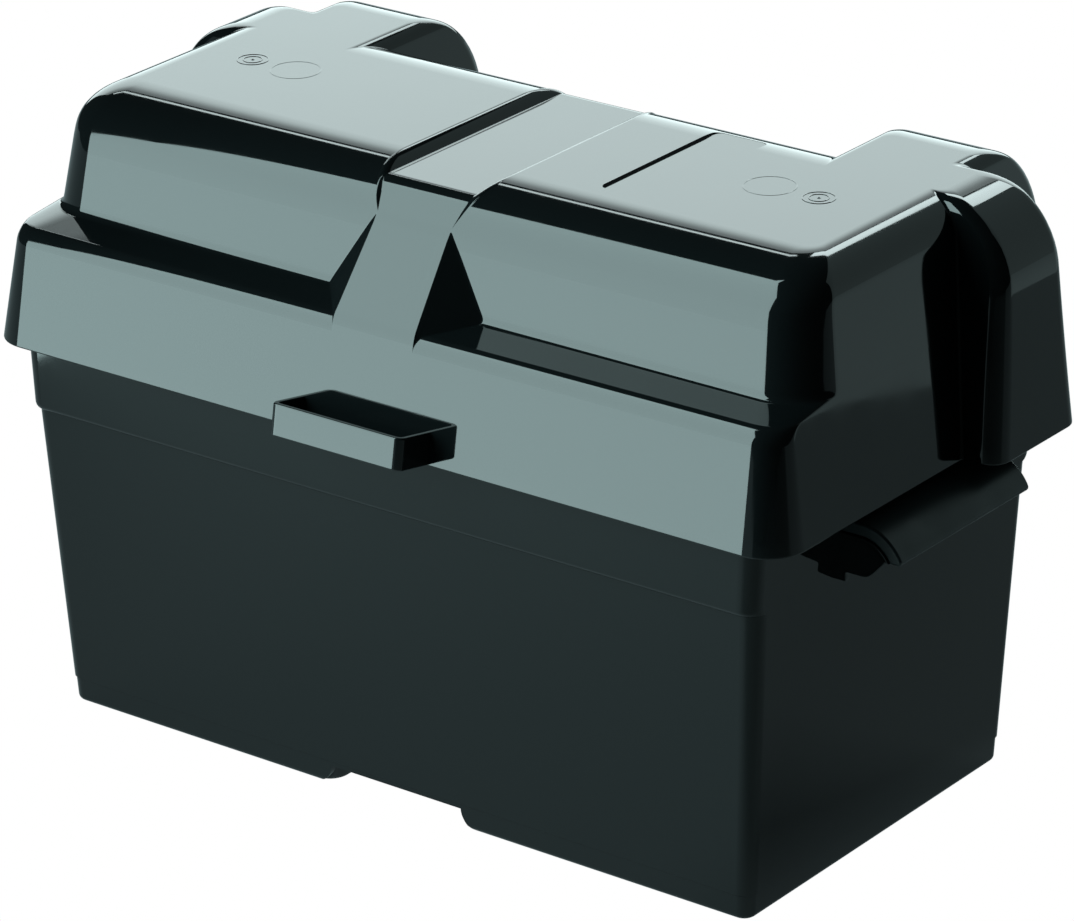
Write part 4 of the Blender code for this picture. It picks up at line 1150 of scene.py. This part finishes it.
class BATTERYBOX_OT_lid(bpy.types.Operator):
    """Makes the smooth lid with its label recess"""
    bl_idname = "battery_box.lid"
    bl_label = "Lid"

    def execute(self, context):
        gloss = gloss_polypropylene(context.scene.battery_box_finish)
        lid = carve(make_lid(), label_cutter(context.scene.battery_box_detail))
        finish_piece(lid, gloss, "lid")
        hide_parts("lid")
        return {'FINISHED'}


class BATTERYBOX_OT_strap_loop(bpy.types.Operator):
    """Makes the strap loop on the front of the lid"""
    bl_idname = "battery_box.strap_loop"
    bl_label = "Strap loop"

    def execute(self, context):
        gloss = gloss_polypropylene(context.scene.battery_box_finish)
        loop = make_loop(context.scene.battery_box_detail)
        finish_piece(loop, gloss, "lid")
        return {'FINISHED'}


class BATTERYBOX_OT_marks(bpy.types.Operator):
    """Makes the gate and ejector marks on the flat top"""
    bl_idname = "battery_box.marks"
    bl_label = "Mould marks"

    def execute(self, context):
        gloss = gloss_polypropylene(context.scene.battery_box_finish)
        middle_x, middle_y = MARKS_MIDDLE
        for side, label in SIDES:
            for name, x, radius, thickness, rise in MARKS:
                centre = ((side * x + middle_x) * MM, middle_y * MM)
                ring = ring_bead(label + "_" + name, centre, radius * MM, thickness * MM, rise * MM)
                finish_piece(ring, gloss, "lid")
        return {'FINISHED'}


class BATTERYBOX_OT_stage(bpy.types.Operator):
    """Adds the camera, the floor, the soft panels and the room"""
    bl_idname = "battery_box.stage"
    bl_label = "Stage"

    def execute(self, context):
        settings = context.scene.battery_box_stage
        make_camera(settings)
        bpy.ops.mesh.primitive_plane_add(size=PAPER_SIZE, location=(0.0, 0.0, 0.0))
        floor = context.object
        floor.name = "floor"
        floor.data.materials.append(studio_paper(settings.paper_colour))
        front, back = linear_colour(settings.front_colour), linear_colour(settings.back_colour)
        panel("front_panel", 0.876, 1.5, (-0.437, -0.833, 0.75), (0.561, -0.771, 0.75),
              settings.front_panel_light, front)
        panel("near_panel", 0.276, 1.3, (-0.367, -0.298, 0.85), (0.344, -1.002, 0.85),
              settings.front_panel_light, front)
        panel("back_panel", 2.4, 1.35, (-1.08, 1.60, 0.945), (0.0, 0.0, 0.945),
              settings.back_panel_light, back, BACK_FADE)
        panel("fill_panel", 1.3, 1.25, (0.40, 0.90, 0.6), (0.0, 0.0, 0.6),
              settings.fill_panel_light, front)
        panel("right_bar", 1.04, 0.28, (-0.447, 1.948, 1.8), (0.533, 0.318, 0.27),
              settings.right_bar_light, back)
        panel("left_bar", 1.06, 0.1, (-1.544, 1.289, 1.8), (-0.564, -0.341, 0.27),
              settings.left_bar_light, back)
        world = bpy.data.worlds.new("studio")
        world.use_nodes = True
        background = world.node_tree.nodes["Background"]
        background.inputs["Color"].default_value = linear_colour(settings.room_colour)
        context.scene.world = world
        context.scene.view_settings.view_transform = 'Standard'
        return {'FINISHED'}


class BATTERYBOX_PT_panel(bpy.types.Panel):
    bl_label = "Battery Box"
    bl_idname = "BATTERYBOX_PT_panel"
    bl_space_type = 'VIEW_3D'
    bl_region_type = 'UI'
    bl_category = "Battery Box"

    def draw(self, context):
        scene = context.scene
        for group in (scene.battery_box_finish, scene.battery_box_detail, scene.battery_box_stage):
            for name in group.bl_rna.properties.keys():
                if name not in ("rna_type", "name"):
                    self.layout.prop(group, name)
        for step in STEPS:
            self.layout.operator(step.bl_idname)


STEPS = (BATTERYBOX_OT_tub, BATTERYBOX_OT_brackets, BATTERYBOX_OT_grips, BATTERYBOX_OT_lid,
         BATTERYBOX_OT_strap_loop, BATTERYBOX_OT_marks, BATTERYBOX_OT_stage)
CLASSES = (FinishSettings, DetailSettings, StageSettings) + STEPS + (BATTERYBOX_PT_panel,)


def register():
    for item in CLASSES:
        bpy.utils.register_class(item)
    bpy.types.Scene.battery_box_finish = PointerProperty(type=FinishSettings)
    bpy.types.Scene.battery_box_detail = PointerProperty(type=DetailSettings)
    bpy.types.Scene.battery_box_stage = PointerProperty(type=StageSettings)


def unregister():
    del bpy.types.Scene.battery_box_finish
    del bpy.types.Scene.battery_box_detail
    del bpy.types.Scene.battery_box_stage
    for item in reversed(CLASSES):
        bpy.utils.unregister_class(item)


def main():
    register()
    bpy.ops.battery_box.tub()
    bpy.ops.battery_box.brackets()
    bpy.ops.battery_box.grips()
    bpy.ops.battery_box.lid()
    bpy.ops.battery_box.strap_loop()
    bpy.ops.battery_box.marks()
    bpy.ops.battery_box.stage()


if __name__ == "__main__":
    main()
